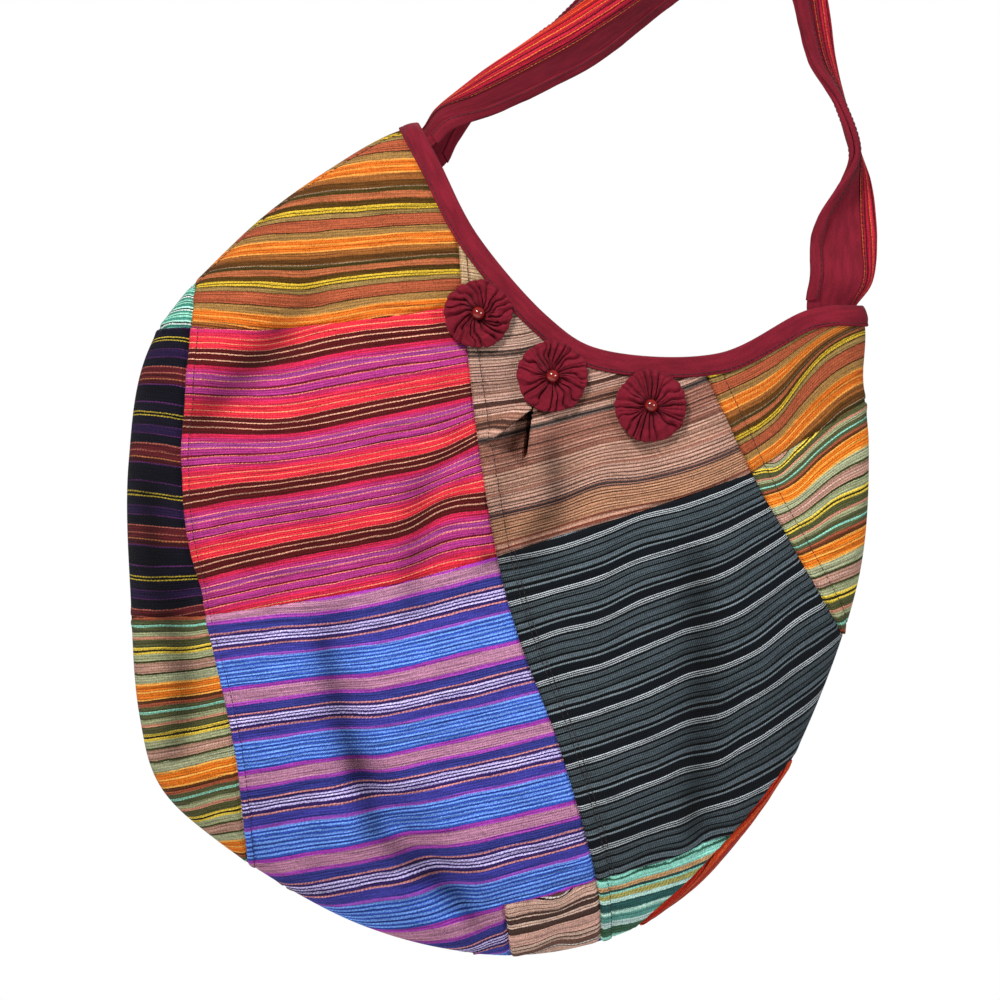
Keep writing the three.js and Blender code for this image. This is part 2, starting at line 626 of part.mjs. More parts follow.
function mouthBindingGeometry() {
  const outer = bindingFit + bindingWall;
  const inside = -clothWall - bindingFit;
  const under = inside - bindingWall;
  const middle = bindingWidth / 2;
  const section = [
    { distance: bindingWidth, height: outer },
    { distance: middle, height: outer },
    { distance: 0, height: outer },
    { distance: -outer, height: bindingFit },
    { distance: -outer, height: inside },
    { distance: 0, height: under },
    { distance: bindingWidth, height: under },
    { distance: bindingWidth, height: inside },
    { distance: middle, height: inside },
    { distance: -bindingFit, height: inside },
    { distance: -bindingFit, height: bindingFit },
    { distance: middle, height: bindingFit },
    { distance: bindingWidth, height: bindingFit },
  ];
  const rings = mouthRound(23).map(({ panel, share }) =>
    section.map(({ distance, height }) => mouthPoint(panel, share, distance, height)),
  );
  return ringGeometry(rings, "joined");
}

// Where the strap leaves the mouth it lies inside the binding, round a tip of the rim
function strapRootRow(tipShare, distance, widths) {
  const depth = clothWall + 2 * bindingFit + bindingWall + strapWall / 2;
  const reach = 0.18;
  const away = Array.from({ length: 41 }, (_, i) => reach * (i / 40) ** 2);
  const arm = (panel) => away.map((share) => mouthPoint(panel, Math.abs(tipShare - share), distance, -depth));
  const arms = { front: new THREE.CurvePath(), back: new THREE.CurvePath() };
  for (const name of ["front", "back"]) {
    const points = arm(panels[name]);
    for (let i = 0; i + 1 < points.length; i++) {
      arms[name].add(new THREE.LineCurve3(points[i], points[i + 1]));
    }
  }
  return (across) => {
    const hand = across < 0 ? "front" : "back";
    const reach = (Math.abs(across) * widths[hand]) / strapHalfWidth;
    return arms[hand].getPoint(Math.min(reach / arms[hand].getLength(), 1));
  };
}

// A free section of the strap: it bends towards the inner side by half its fold on either hand
const strapPath = new THREE.CatmullRomCurve3(
  strapSections.map((row) => new THREE.Vector3(row.x, row.y, mouthLine - row.drop)),
);

// A distance from the middle line where the strap is narrower: only its plain border gives way
function narrowed(reach, half) {
  const border = (half - strapEdgeWidth - bandHalfWidth) / (edgeStart - bandHalfWidth);
  const inBand = Math.min(reach, bandHalfWidth);
  const inBorder = THREE.MathUtils.clamp(reach, bandHalfWidth, edgeStart) - bandHalfWidth;
  const inEdge = Math.max(reach - edgeStart, 0);
  return inBand + inBorder * border + inEdge;
}

function strapSectionRow(row, index) {
  const along = strapPath.getTangent(index / (strapSections.length - 1)).setY(0).normalize();
  const outward = new THREE.Vector3(-along.z, 0, along.x);
  const forward = new THREE.Vector3(0, -1, 0);
  const roll = THREE.MathUtils.degToRad(row.roll);
  const normal = outward.clone().multiplyScalar(Math.cos(roll)).addScaledVector(forward, Math.sin(roll));
  const side = outward.clone().multiplyScalar(Math.sin(roll)).addScaledVector(forward, -Math.cos(roll));
  const halfFold = THREE.MathUtils.degToRad(row.fold / 2);
  const fold = new THREE.Vector3(row.x, row.y, mouthLine - row.drop);
  return (across) => {
    const steps = 32;
    const reach = narrowed(Math.abs(across), across < 0 ? row.front : row.back);
    const point = fold.clone();
    for (let i = 0; i < steps; i++) {
      const bent = Math.min((reach * (i + 0.5)) / steps / row.bend, 1);
      const turn = halfFold * Math.sin((Math.PI / 2) * bent);
      point.addScaledVector(side, (Math.sign(across) * reach * Math.cos(turn)) / steps);
      point.addScaledVector(normal, (-reach * Math.sin(turn)) / steps);
    }
    return point;
  };
}

const strapRows = [
  ...strapRootDrops.map((distance) => strapRootRow(0, distance, strapRoots.left)),
  ...strapSections.map(strapSectionRow),
  ...strapRootDrops.map((distance) => strapRootRow(1, distance, strapRoots.right)).reverse(),
];
const strapLines = new Map();

// A point of the strap's middle surface: a share of its length and a distance from its middle line
function strapPoint(along, across) {
  if (!strapLines.has(across)) {
    strapLines.set(across, new THREE.CatmullRomCurve3(strapRows.map((row) => row(across))));
  }
  return strapLines.get(across).getPoint(along);
}

function strapSurface(along, across) {
  const edge = THREE.MathUtils.clamp(across, -strapHalfWidth, strapHalfWidth);
  const nudge = 0.5;
  const inner = edge - Math.sign(edge) * nudge;
  const [low, high] = edge === 0 ? [-nudge, nudge] : [inner, edge].sort((a, b) => a - b);
  const sideways = strapPoint(along, high).sub(strapPoint(along, low)).normalize();
  const step = 0.004;
  const ahead = strapPoint(Math.min(along + step, 1), edge);
  const lengthwise = ahead.sub(strapPoint(Math.max(along - step, 0), edge)).normalize();
  const normal = lengthwise.clone().cross(sideways).normalize();
  const point = strapPoint(along, edge).addScaledVector(sideways, across - edge);
  return { point, normal };
}

const strapSteps = 28;
const lastRow = strapRows.length - 1;
const outOfMouth = 1.25 / lastRow; // just past the row where the strap comes out of the binding
const alongFree = spread(strapSteps, false, false).map((share) =>
  THREE.MathUtils.lerp(outOfMouth, 1 - outOfMouth, share),
);
const rootSteps = [0, 0.5, 1].map((share) => share / lastRow);
const alongStrap = [...rootSteps, ...alongFree, ...rootSteps.map((share) => 1 - share).reverse()];

// A piece of the strap between two distances from its middle line, at a height over its middle surface
function strapPiece(columns, rows, height, wall) {
  const place = (across, along) => {
    const { point, normal } = strapSurface(along, across);
    return { point: point.addScaledVector(normal, height), normal };
  };
  return sheetGeometry(columns, rows, place, wall);
}

function strapEdgeGeometry(hand) {
  const face = strapWall / 2 + strapEdgeFit;
  const cover = face + strapEdgeWall;
  const lip = strapHalfWidth + strapEdgeFit;
  const section = [
    { across: edgeStart, height: cover },
    { across: lip + strapEdgeWall, height: cover },
    { across: lip + strapEdgeWall, height: -cover },
    { across: edgeStart, height: -cover },
    { across: edgeStart, height: -face },
    { across: lip, height: -face },
    { across: lip, height: face },
    { across: edgeStart, height: face },
  ];
  const cap = [[0, 6, 7], [0, 1, 6], [1, 5, 6], [1, 2, 5], [2, 4, 5], [2, 3, 4]];
  const rings = alongFree.map((along) =>
    section.map(({ across, height }) => {
      const { point, normal } = strapSurface(along, hand * across);
      return point.addScaledVector(normal, height);
    }),
  );
  const next = (j) => section[(j + 1) % section.length];
  return ringGeometry(rings, cap, (j) => hand * next(j).across < hand * section[j].across);
}

// A rosette lies on the front panel and follows its curve; its pleats run out from the middle
function rosetteGeometry({ x, drop, radius }) {
  const middle = spot({ x, drop });
  const count = 2 * rosettePleats;
  const lifted = (place, height) => {
    const { point, normal } = panelSurface(panels.front, place.x, place.y);
    return point.addScaledVector(normal, rosetteLift + height);
  };
  const rings = rosetteRings.map(({ share, height, pleat }) =>
    Array.from({ length: count }, (_, i) => {
      const turn = (2 * Math.PI * i) / count;
      const arm = new THREE.Vector2(Math.cos(turn), Math.sin(turn)).multiplyScalar(share * radius);
      return lifted(arm.add(middle), height + (i % 2 === 0 ? pleat : -pleat));
    }),
  );
  const pole = (height) => Array.from({ length: count }, () => lifted(middle, height));
  const closed = [pole(0), ...rings, pole(rosetteHollow)];
  return fannedGeometry(closed);
}

// Rings between two poles, with one triangle for each step of the first and last ring
function fannedGeometry(rings) {
  const size = rings[0].length;
  const poles = [rings[0][0], rings[rings.length - 1][0]];
  const points = [...rings.slice(1, -1).flat(), ...poles];
  const last = rings.length - 3;
  const faces = [];
  for (let j = 0; j < size; j++) {
    const next = (j + 1) % size;
    faces.push(points.length - 2, j, next);
    for (let i = 0; i < last; i++) {
      const [here, there] = [i * size, (i + 1) * size];
      faces.push(here + j, there + j, there + next, here + j, there + next, here + next);
    }
    faces.push(points.length - 1, last * size + next, last * size + j);
  }
  const geometry = new THREE.BufferGeometry().setFromPoints(points);
  geometry.setIndex(faces);
  return facingOut(geometry);
}

const maroon = 0x7d1f36;
const bag = new THREE.Group();

function addPiece(name, geometry, color, roughness = 0.9) {
  const material = new THREE.MeshStandardMaterial({ color, roughness, metalness: 0 });
  const mesh = new THREE.Mesh(geometry, material);
  mesh.name = name;
  bag.add(mesh);
  return mesh;
}

// Front and back panels
for (const patch of patches) addPiece(patch.name, patchGeometry(patch), patch.colour);

// Mouth and strap
addPiece("mouth_binding", mouthBindingGeometry(), maroon);
const bandColumns = [-1, -0.5, 0, 0.5, 1].map((share) => share * bandHalfWidth);
const border = (bandHalfWidth + edgeStart) / 2;
const leftColumns = [-strapHalfWidth, -edgeStart, -border];
const strapColumns = [...leftColumns, ...bandColumns, border, edgeStart, strapHalfWidth];
addPiece("strap", strapPiece(strapColumns, alongStrap, strapWall / 2, strapWall), maroon);
const bandHeight = strapWall / 2 + clearance + bandWall;
addPiece("strap_band", strapPiece(bandColumns, alongFree, bandHeight, bandWall), 0xb22a3a);
addPiece("strap_edge_front", strapEdgeGeometry(-1), maroon);
addPiece("strap_edge_back", strapEdgeGeometry(1), maroon);

// Rosettes and beads
rosettes.forEach((rosette, index) => {
  addPiece(`rosette_${index + 1}`, rosetteGeometry(rosette), 0x7a1a38);
  const { x, y: z } = spot(rosette);
  const { point, normal } = panelSurface(panels.front, x, z);
  const bead = addPiece(`bead_${index + 1}`, new THREE.SphereGeometry(beadRadius, 10, 6), 0xb8241c, 0.2);
  bead.position.copy(point).addScaledVector(normal, rosetteLift + rosetteHollow + clearance + beadRadius);
});

export default bag;
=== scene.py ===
import math

import bpy
import numpy as np
from mathutils import Matrix, Vector


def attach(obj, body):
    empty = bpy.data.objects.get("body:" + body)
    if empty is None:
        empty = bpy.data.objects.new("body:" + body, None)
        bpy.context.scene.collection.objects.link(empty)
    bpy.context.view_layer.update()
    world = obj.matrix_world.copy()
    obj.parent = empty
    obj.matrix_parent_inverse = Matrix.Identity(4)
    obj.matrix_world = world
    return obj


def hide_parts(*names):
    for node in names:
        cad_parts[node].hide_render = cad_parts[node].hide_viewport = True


# Looks of the patchwork shoulder bag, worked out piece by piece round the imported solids.
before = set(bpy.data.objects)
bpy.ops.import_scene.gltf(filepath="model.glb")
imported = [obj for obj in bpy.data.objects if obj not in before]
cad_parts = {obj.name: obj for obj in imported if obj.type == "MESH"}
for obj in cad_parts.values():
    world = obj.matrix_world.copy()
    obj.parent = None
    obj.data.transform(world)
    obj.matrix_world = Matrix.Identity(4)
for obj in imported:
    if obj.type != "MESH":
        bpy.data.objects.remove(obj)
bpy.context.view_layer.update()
mm = 0.001
fullTurn = 2 * math.pi
print("frame loaded")

# In the plane of the bag a place is (x, drop), with drop in mm below the mouth line.
tilt = math.radians(22.19)     # the bag hangs this far off the picture's upright
tiltCos, tiltSin = math.cos(tilt), math.sin(tilt)


def seen(place):     # right and down as the tilted picture shows them
    return np.stack([tiltCos * place[..., 0] - tiltSin * place[..., 1],
                     tiltSin * place[..., 0] + tiltCos * place[..., 1]], axis=-1)


def unseen(place):     # back from the picture to the bag
    return np.stack([tiltCos * place[..., 0] + tiltSin * place[..., 1],
                     -tiltSin * place[..., 0] + tiltCos * place[..., 1]], axis=-1)


def smoothstep(value, low, high):     # 0 to 1, level at both ends
    share = np.clip((value - low) / (high - low), 0, 1)
    return share * share * (3 - 2 * share)


def between(value, rise, full, fall, gone):     # smoothly up from 0 to 1, then down again
    return smoothstep(value, rise, full) * (1 - smoothstep(value, fall, gone))


def bump(value, middle, width):     # a bell, 1 at its middle
    return np.exp(-(((value - middle) / width) ** 2))


def unit(vectors):     # each vector over its length
    return vectors / np.maximum(np.linalg.norm(vectors, axis=-1, keepdims=True), 1e-9)


def pairs(first, second):     # two arrays side by side, spread over one grid
    return np.stack(np.broadcast_arrays(first, second), axis=-1)


def valueNoise(x, y, seed):     # smooth random heights between lattice points, -1 to 1
    size = 64
    table = np.random.default_rng(seed).uniform(-1, 1, (size, size))
    x, y = np.broadcast_arrays(np.asarray(x, float), np.asarray(y, float))
    column, row = np.floor(x).astype(int), np.floor(y).astype(int)
    across, down = smoothstep(x - column, 0, 1), smoothstep(y - row, 0, 1)
    pick = lambda right, below: table[(column + right) % size, (row + below) % size]
    upper = pick(0, 0) * (1 - across) + pick(1, 0) * across
    lower = pick(0, 1) * (1 - across) + pick(1, 1) * across
    return upper * (1 - down) + lower * down


def hermite(p1, p2, slope1, slope2, t):     # a cubic from two points and the slopes at them
    return (p1 * (2 * t**3 - 3 * t**2 + 1) + slope1 * (t**3 - 2 * t**2 + t)
            + p2 * (3 * t**2 - 2 * t**3) + slope2 * (t**3 - t**2))


def centripetal(points, shares, closed=False):     # cubic pieces, slopes weighed by the root of each gap
    points = np.asarray(points, float)
    if closed:
        ring, count = np.concatenate([points[-1:], points, points[:2]]), len(points)
    else:
        ring = np.concatenate([2 * points[:1] - points[1:2], points, 2 * points[-1:] - points[-2:-1]])
        count = len(points) - 1
    spot = np.clip(np.asarray(shares, float) * count, 0, count - 1e-9)
    index = spot.astype(int)
    t = (spot - index).reshape((-1,) + (1,) * (points.ndim - 1))
    p0, p1, p2, p3 = (ring[index + step] for step in range(4))
    gap = lambda a, b: np.maximum(np.linalg.norm(b - a, axis=-1, keepdims=True), 1e-4) ** 0.5
    d0, d1, d2 = gap(p0, p1), gap(p1, p2), gap(p2, p3)
    slope1 = ((p1 - p0) / d0 - (p2 - p0) / (d0 + d1) + (p2 - p1) / d1) * d1
    slope2 = ((p2 - p1) / d1 - (p3 - p1) / (d1 + d2) + (p3 - p2) / d2) * d1
    return hermite(p1, p2, slope1, slope2, t)


def evenSpline(points, shares):     # cubic pieces with even steps and doubled ends
    points = np.asarray(points, float)
    ring = np.concatenate([points[:1], points, points[-1:]])
    spot = np.clip(np.asarray(shares, float) * (len(points) - 1), 0, len(points) - 1 - 1e-9)
    index = spot.astype(int)
    p0, p1, p2, p3 = (ring[index + step] for step in range(4))
    return hermite(p1, p2, (p2 - p0) / 2, (p3 - p1) / 2, (spot - index)[..., None])


def lengthAlong(points, axis=0):     # mm run from the first point, or from a grid's first row or column
    steps = np.linalg.norm(np.diff(points, axis=axis), axis=-1)
    start = np.zeros_like(steps.take([0], axis=axis))
    return np.concatenate([start, np.cumsum(steps, axis=axis)], axis=axis)


def atLengths(want, length, values):     # rows of values read off at lengths along their line
    return np.stack([np.interp(want, length, column) for column in values.T], axis=-1)


def alongLine(line, shares):     # points at even shares of a line's length
    length = lengthAlong(line)
    return atLengths(np.asarray(shares) * length[-1], length, line)


def shellFaces(rows, columns, ringRows=False, ringColumns=False, thick=True):
    # faces of an outer grid, the same faces turned round on an inner grid, and walls on open borders
    index = np.arange(rows * columns).reshape(rows, columns)
    if ringRows:
        index = np.concatenate([index, index[:1]])
    if ringColumns:
        index = np.concatenate([index, index[:, :1]], axis=1)
    outer = np.stack([index[:-1, :-1], index[:-1, 1:], index[1:, 1:], index[1:, :-1]], axis=-1)
    outer = outer.reshape(-1, 4)
    if not thick:
        return outer
    under = rows * columns
    faces = [outer, outer[:, ::-1] + under]
    borders = [] if ringRows else [index[0], index[-1, ::-1]]
    if not ringColumns:
        borders += [index[::-1, 0], index[:, -1]]
    for border in borders:
        a, b = border[:-1], border[1:]
        faces.append(np.stack([b, a, a + under, b + under], axis=-1))
    return np.concatenate(faces)


def weld(points, quads):     # joins points that coincide; squashed quads become triangles or go
    _, first, back = np.unique(np.round(points, 4), axis=0, return_index=True, return_inverse=True)
    quads = back.reshape(-1)[quads]
    same = quads == np.roll(quads, -1, axis=1)
    squashed = same.sum(axis=1)
    triangles = quads[squashed == 1][~same[squashed == 1]].reshape(-1, 3)
    return first, quads[squashed == 0], triangles


def addPiece(name, points, quads, material, uv=None, creaseDeg=50, paintedShade=None):
    # points in mm, faces turned outward; uv is the weave in mm, paintedShade the share of colour darkened
    # in a fold as painted shade
    first, quads, triangles = weld(points, quads)
    points = points[first] * mm
    fans = np.concatenate([quads[:, [0, 1, 2]], quads[:, [0, 2, 3]], triangles])
    a, b, c = points[fans[:, 0]], points[fans[:, 1]], points[fans[:, 2]]
    if np.einsum("ij,ij->i", a, np.cross(b, c)).sum() < 0:
        quads, triangles = quads[:, ::-1], triangles[:, ::-1]
    corners = np.concatenate([quads.ravel(), triangles.ravel()])
    starts = np.concatenate([np.arange(len(quads)) * 4, len(quads) * 4 + np.arange(len(triangles)) * 3])
    mesh = bpy.data.meshes.new(name)
    mesh.vertices.add(len(points))
    mesh.vertices.foreach_set("co", points.ravel())
    mesh.loops.add(len(corners))
    mesh.loops.foreach_set("vertex_index", corners.astype(np.int32))
    mesh.polygons.add(len(starts))
    mesh.polygons.foreach_set("loop_start", starts.astype(np.int32))
    mesh.update(calc_edges=True)
    if uv is not None:
        weave = (uv.reshape(-1, 2)[first] * mm)[corners]
        mesh.uv_layers.new(name="weave").data.foreach_set("uv", weave.ravel())
    # the painted fold shade is kept for each point, and the cloth's colour is darkened by it
    if paintedShade is not None:
        deep = paintedShade[first].astype(np.float32)
        mesh.attributes.new("paintedShade", "FLOAT", "POINT").data.foreach_set("value", deep)
    mesh.validate()
    mesh.shade_smooth()
    mesh.set_sharp_from_angle(angle=math.radians(creaseDeg))
    mesh.materials.append(material)
    piece = bpy.data.objects.new(name, mesh)
    bpy.context.scene.collection.objects.link(piece)
    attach(piece, "root")
    return piece


def addShell(name, outer, inner, material, uv, ringColumns=False, creaseDeg=50, paintedShade=None):
    # a wall of cloth: two grids with the same weave, joined along their open borders
    faces = shellFaces(*outer.shape[:2], False, ringColumns)
    points = np.concatenate([outer.reshape(-1, 3), inner.reshape(-1, 3)])
    if paintedShade is not None:
        paintedShade = np.concatenate([paintedShade.ravel()] * 2)
    return addPiece(name, points, faces, material, np.concatenate([uv, uv]), creaseDeg, paintedShade)


def halfSurface(piece):     # one layer of a closed shell, square metres
    areas = np.empty(len(piece.data.polygons))
    piece.data.polygons.foreach_get("area", areas)
    return float(areas.sum() / 2)


def shade(code, alpha=1.0):     # a colour written as hex, in linear light
    parts = np.array([int(code[at:at + 2], 16) for at in (0, 2, 4)]) / 255
    linear = np.where(parts <= 0.04045, parts / 12.92, ((parts + 0.055) / 1.055) ** 2.4)
    return (*linear.tolist(), alpha)


class Wire:     # a socket that grows Math nodes when it meets an operator
    def __init__(self, paint, node, output=0):
        self.paint, self.node = paint, node
        self.socket = node.outputs[output] if node.outputs else None

    def other(self, output):
        return Wire(self.paint, self.node, output)

    def do(self, operation, *values):
        return self.paint.add("ShaderNodeMath", {"operation": operation}, dict(enumerate(values)))

    def __add__(self, value):
        return self.do("ADD", self, value)

    def __radd__(self, value):
        return self.do("ADD", value, self)

    def __sub__(self, value):
        return self.do("SUBTRACT", self, value)

    def __rsub__(self, value):
        return self.do("SUBTRACT", value, self)

    def __mul__(self, value):
        return self.do("MULTIPLY", self, value)

    def __rmul__(self, value):
        return self.do("MULTIPLY", value, self)

    def __truediv__(self, value):
        return self.do("DIVIDE", self, value)

    def __rtruediv__(self, value):
        return self.do("DIVIDE", value, self)

    def wave(self, gap, shift=0):     # a sine that comes round every gap
        turned = self * (fullTurn / gap)
        return self.do("SINE", turned + shift if shift else turned)

    def within(self, low, high):     # smoothly from 0 at the low value to 1 at the high one
        return self.paint.add("ShaderNodeMapRange", {"interpolation_type": "SMOOTHSTEP"},
                              {"Value": self, "From Min": low, "From Max": high})


class Paint:     # the nodes of one material or of the world
    def __init__(self, name, store="materials"):
        self.owner = getattr(bpy.data, store).new(name)
        self.owner.use_nodes = True
        self.tree = self.owner.node_tree
        self.tree.nodes.clear()

    def add(self, kind, settings=None, sockets=None, output=0):
        node = self.tree.nodes.new(kind)
        for key, value in (settings or {}).items():
            if key == "stops":
                self.setStops(node.color_ramp, value)
            else:
                setattr(node, key, value)
        for key, value in (sockets or {}).items():
            if isinstance(value, Wire):
                self.tree.links.new(value.socket, node.inputs[key])
            else:
                node.inputs[key].default_value = value
        return Wire(self, node, output)

    def setStops(self, ramp, stops):
        ramp.interpolation = "CONSTANT"
        ramp.elements.remove(ramp.elements[1])
        for number, (spot, colour) in enumerate(stops):
            stop = ramp.elements.new(spot) if number else ramp.elements[0]
            stop.position, stop.color = spot, colour

    def mix(self, share, first, second):
        return self.add("ShaderNodeMix", {"data_type": "RGBA"}, {0: share, 6: first, 7: second}, 2)

    def scaled(self, colour, share):
        return self.add("ShaderNodeVectorMath", {"operation": "SCALE"}, {0: colour, "Scale": share})

    def uneven(self, kind, x, y):     # noise over a flat sheet, one layer for each kind
        often, oftenAcross, layer, detail = clothGrain[kind]
        spot = self.add("ShaderNodeCombineXYZ", None, {0: x * often, 1: y * oftenAcross, 2: layer})
        return self.add("ShaderNodeTexNoise", None, {"Vector": spot, "Scale": 1.0, "Detail": detail})

    def cloud(self, scale, detail):     # noise over the piece's own place, metres
        spot = self.add("ShaderNodeTexCoord").other("Object")
        return self.add("ShaderNodeTexNoise", None, {"Vector": spot, "Scale": scale, "Detail": detail})

    def finish(self, colour, roughness, height=None, depth=0.0, **constants):
        sockets = {"Base Color": colour, "Roughness": roughness}
        for key, value in constants.items():
            sockets[key.replace("_", " ")] = value
        if height is not None:
            sockets["Normal"] = self.add("ShaderNodeBump", None,
                                         {"Strength": 1.0, "Distance": depth, "Height": height})
        surface = self.add("ShaderNodeBsdfPrincipled", None, sockets)
        self.add("ShaderNodeOutputMaterial", None, {"Surface": surface})
        return self.owner


def weaveOf(paint):     # mm along the stripes and across them
    split = paint.add("ShaderNodeSeparateXYZ", None, {0: paint.add("ShaderNodeUVMap", {"uv_map": "weave"})})
    return split * (1 / mm), split.other(1) * (1 / mm)


rampStops = 32     # the most that one colour ramp holds
clothGrain = {     # unevenness: how often it comes per mm along and across, layer, detail
    "wobble": (0.035, 0.12, 3.0, 2.0), "fray": (1.1, 0.5, 9.0, 2.0), "pick": (0.0, 0.55, 7.0, 1.0),
    "streak": (0.05, 1.35, 5.0, 3.0), "fleck": (1.3, 0.45, 1.0, 2.0), "yarn": (0.012, 0.95, 13.0, 1.0),
    "softStreak": (0.06, 0.3, 2.0, 3.0), "lint": (1.1, 1.1, 4.0, 2.0), "fade": (0.03, 0.03, 8.0, 2.0)}
stripedLook = {     # gaps and drifts in mm
    "wander": 1.8, "fray": 0.8, "dash": 2.3, "dashSlant": 2.1, "rib": 1.25, "beat": 1.3, "slant": 0.9,
    # light: the ground, then what each unevenness adds or takes
    "light": (0.44, 0.54, 0.64), "thread": (0.98, 0.12), "yarn": (1.04, 0.42),
    "lineShare": (0.62, 0.5), "paleShare": 0.7, "relief": (0.4, 0.25, 0.5), "bump": 0.00035,
    "strength": 1.0}
plainLook = {"thread": 0.7, "light": (0.5, 0.45, 0.55), "relief": (0.25, 0.25, 0.8), "bump": 0.00025}
cottonRough = (0.8, 0.15)     # at least, and what the flecks add
cottonFinish = {"Sheen_Weight": 0.03, "Specular_IOR_Level": 0.12}


def stripeStops(stripes):     # (colour, width in mm, dash share): alpha holds how solid a stripe is
    total = sum(row[1] for row in stripes)
    spot, stops = 0.0, []
    for row in stripes:
        stops.append((spot / total, shade(row[0], 1 - (row[2] if len(row) > 2 else 0))))
        spot += row[1]
    return stops, total


def stripedCloth(name, look):
    # stripes by place across the cloth; dashes and flecks along it; ribs and crossing yarns as bump
    look = {**stripedLook, **look}
    paint = Paint(name)
    along, across = weaveOf(paint)

    uneven = lambda kind: paint.uneven(kind, along, across)
    stops, total = stripeStops(look["stripes"])
    wobble, fray = uneven("wobble") - 0.5, uneven("fray") - 0.5
    spot = (across + wobble * look["wander"] + fray * look["fray"]) / total
    spot = spot.do("FRACT", spot)
    chart = paint.add("ShaderNodeValToRGB", {"stops": stops[:rampStops]}, {0: spot})
    solid = chart.other(1)
    if len(stops) > rampStops:     # a long chart takes a second ramp
        rest = paint.add("ShaderNodeValToRGB", {"stops": stops[rampStops:]}, {0: spot})
        past = spot.do("GREATER_THAN", spot, stops[rampStops][0])
        solid = solid * (1 - past) + rest.other(1) * past
        chart = paint.mix(past, chart, rest)
    if "lines" in look:     # fine lines, strongest where the chart says; some yarns darker than others
        lines, (least, more) = look["lines"], look["lineShare"]
        pick = uneven("pick").within(0.25, 0.7)
        wave = across.wave(lines["gap"], wobble * 5 + fray * 1.5)
        dark = wave.within(0.3, 0.7) * (least + pick * more) * (1 - solid)
        colour = paint.mix(dark, chart, shade(lines["colour"]))
        pale = (0 - wave).within(0.6, 0.95) * (1 - pick) * (1 - solid)
        colour = paint.mix(pale * look["paleShare"], colour, shade(lines["pale"]))
    else:
        dash = along.wave(look["dash"], across * look["dashSlant"]).within(-0.25, 0.25)
        colour = paint.mix((1 - solid) * dash, chart, shade(look["ground"]))
    slant = look["slant"]
    streak = uneven("streak").within(0.28, 0.72)
    fleck = paint.uneven("fleck", along + across * slant, across - along * slant).within(0.25, 0.75)
    rib = across.wave(look["rib"], wobble * 3)
    beat = (along + across).wave(look["beat"], rib * 1.2)     # slanting, as in a twill
    yarn = uneven("yarn").within(0.56, 0.66)     # a dark yarn here and there
    ground, byStreak, byFleck = look["light"]
    (plain, byThread), (most, byYarn) = look["thread"], look["yarn"]
    light = (ground + streak * byStreak + fleck * byFleck) * (plain + rib * byThread + beat * byThread)
    # painted shade: the base colour loses this share along the folds, standing in for the shadow in them
    paintedShade = paint.add("ShaderNodeAttribute", {"attribute_name": "paintedShade"}, output=2)
    light = light * (most - yarn * byYarn) * look["strength"] * (1 - paintedShade)
    ribHigh, beatHigh, fleckHigh = look["relief"]
    height = rib * ribHigh + beat * beatHigh + fleck * fleckHigh
    return paint.finish(paint.scaled(colour, light), cottonRough[0] + fleck * cottonRough[1], height,
                        look["bump"], **cottonFinish)


def plainCloth(name, deep, bright):     # one dyed colour with soft streaks, lint and a close weave
    paint = Paint(name)
    along, across = weaveOf(paint)
    streak, lint, fade = (paint.uneven(kind, along, across) for kind in ("softStreak", "lint", "fade"))
    colour = paint.mix(streak.within(0.25, 0.75), shade(deep), shade(bright))
    ground, byFade, byLint = plainLook["light"]
    light = ground + fade * byFade + lint * byLint
    rib = across.wave(plainLook["thread"])
    beat = along.wave(plainLook["thread"], rib * 1.5)
    ribHigh, beatHigh, lintHigh = plainLook["relief"]
    height = rib * ribHigh + beat * beatHigh + lint * lintHigh
    return paint.finish(paint.scaled(colour, light), cottonRough[0] + lint * cottonRough[1], height,
                        plainLook["bump"], **cottonFinish)


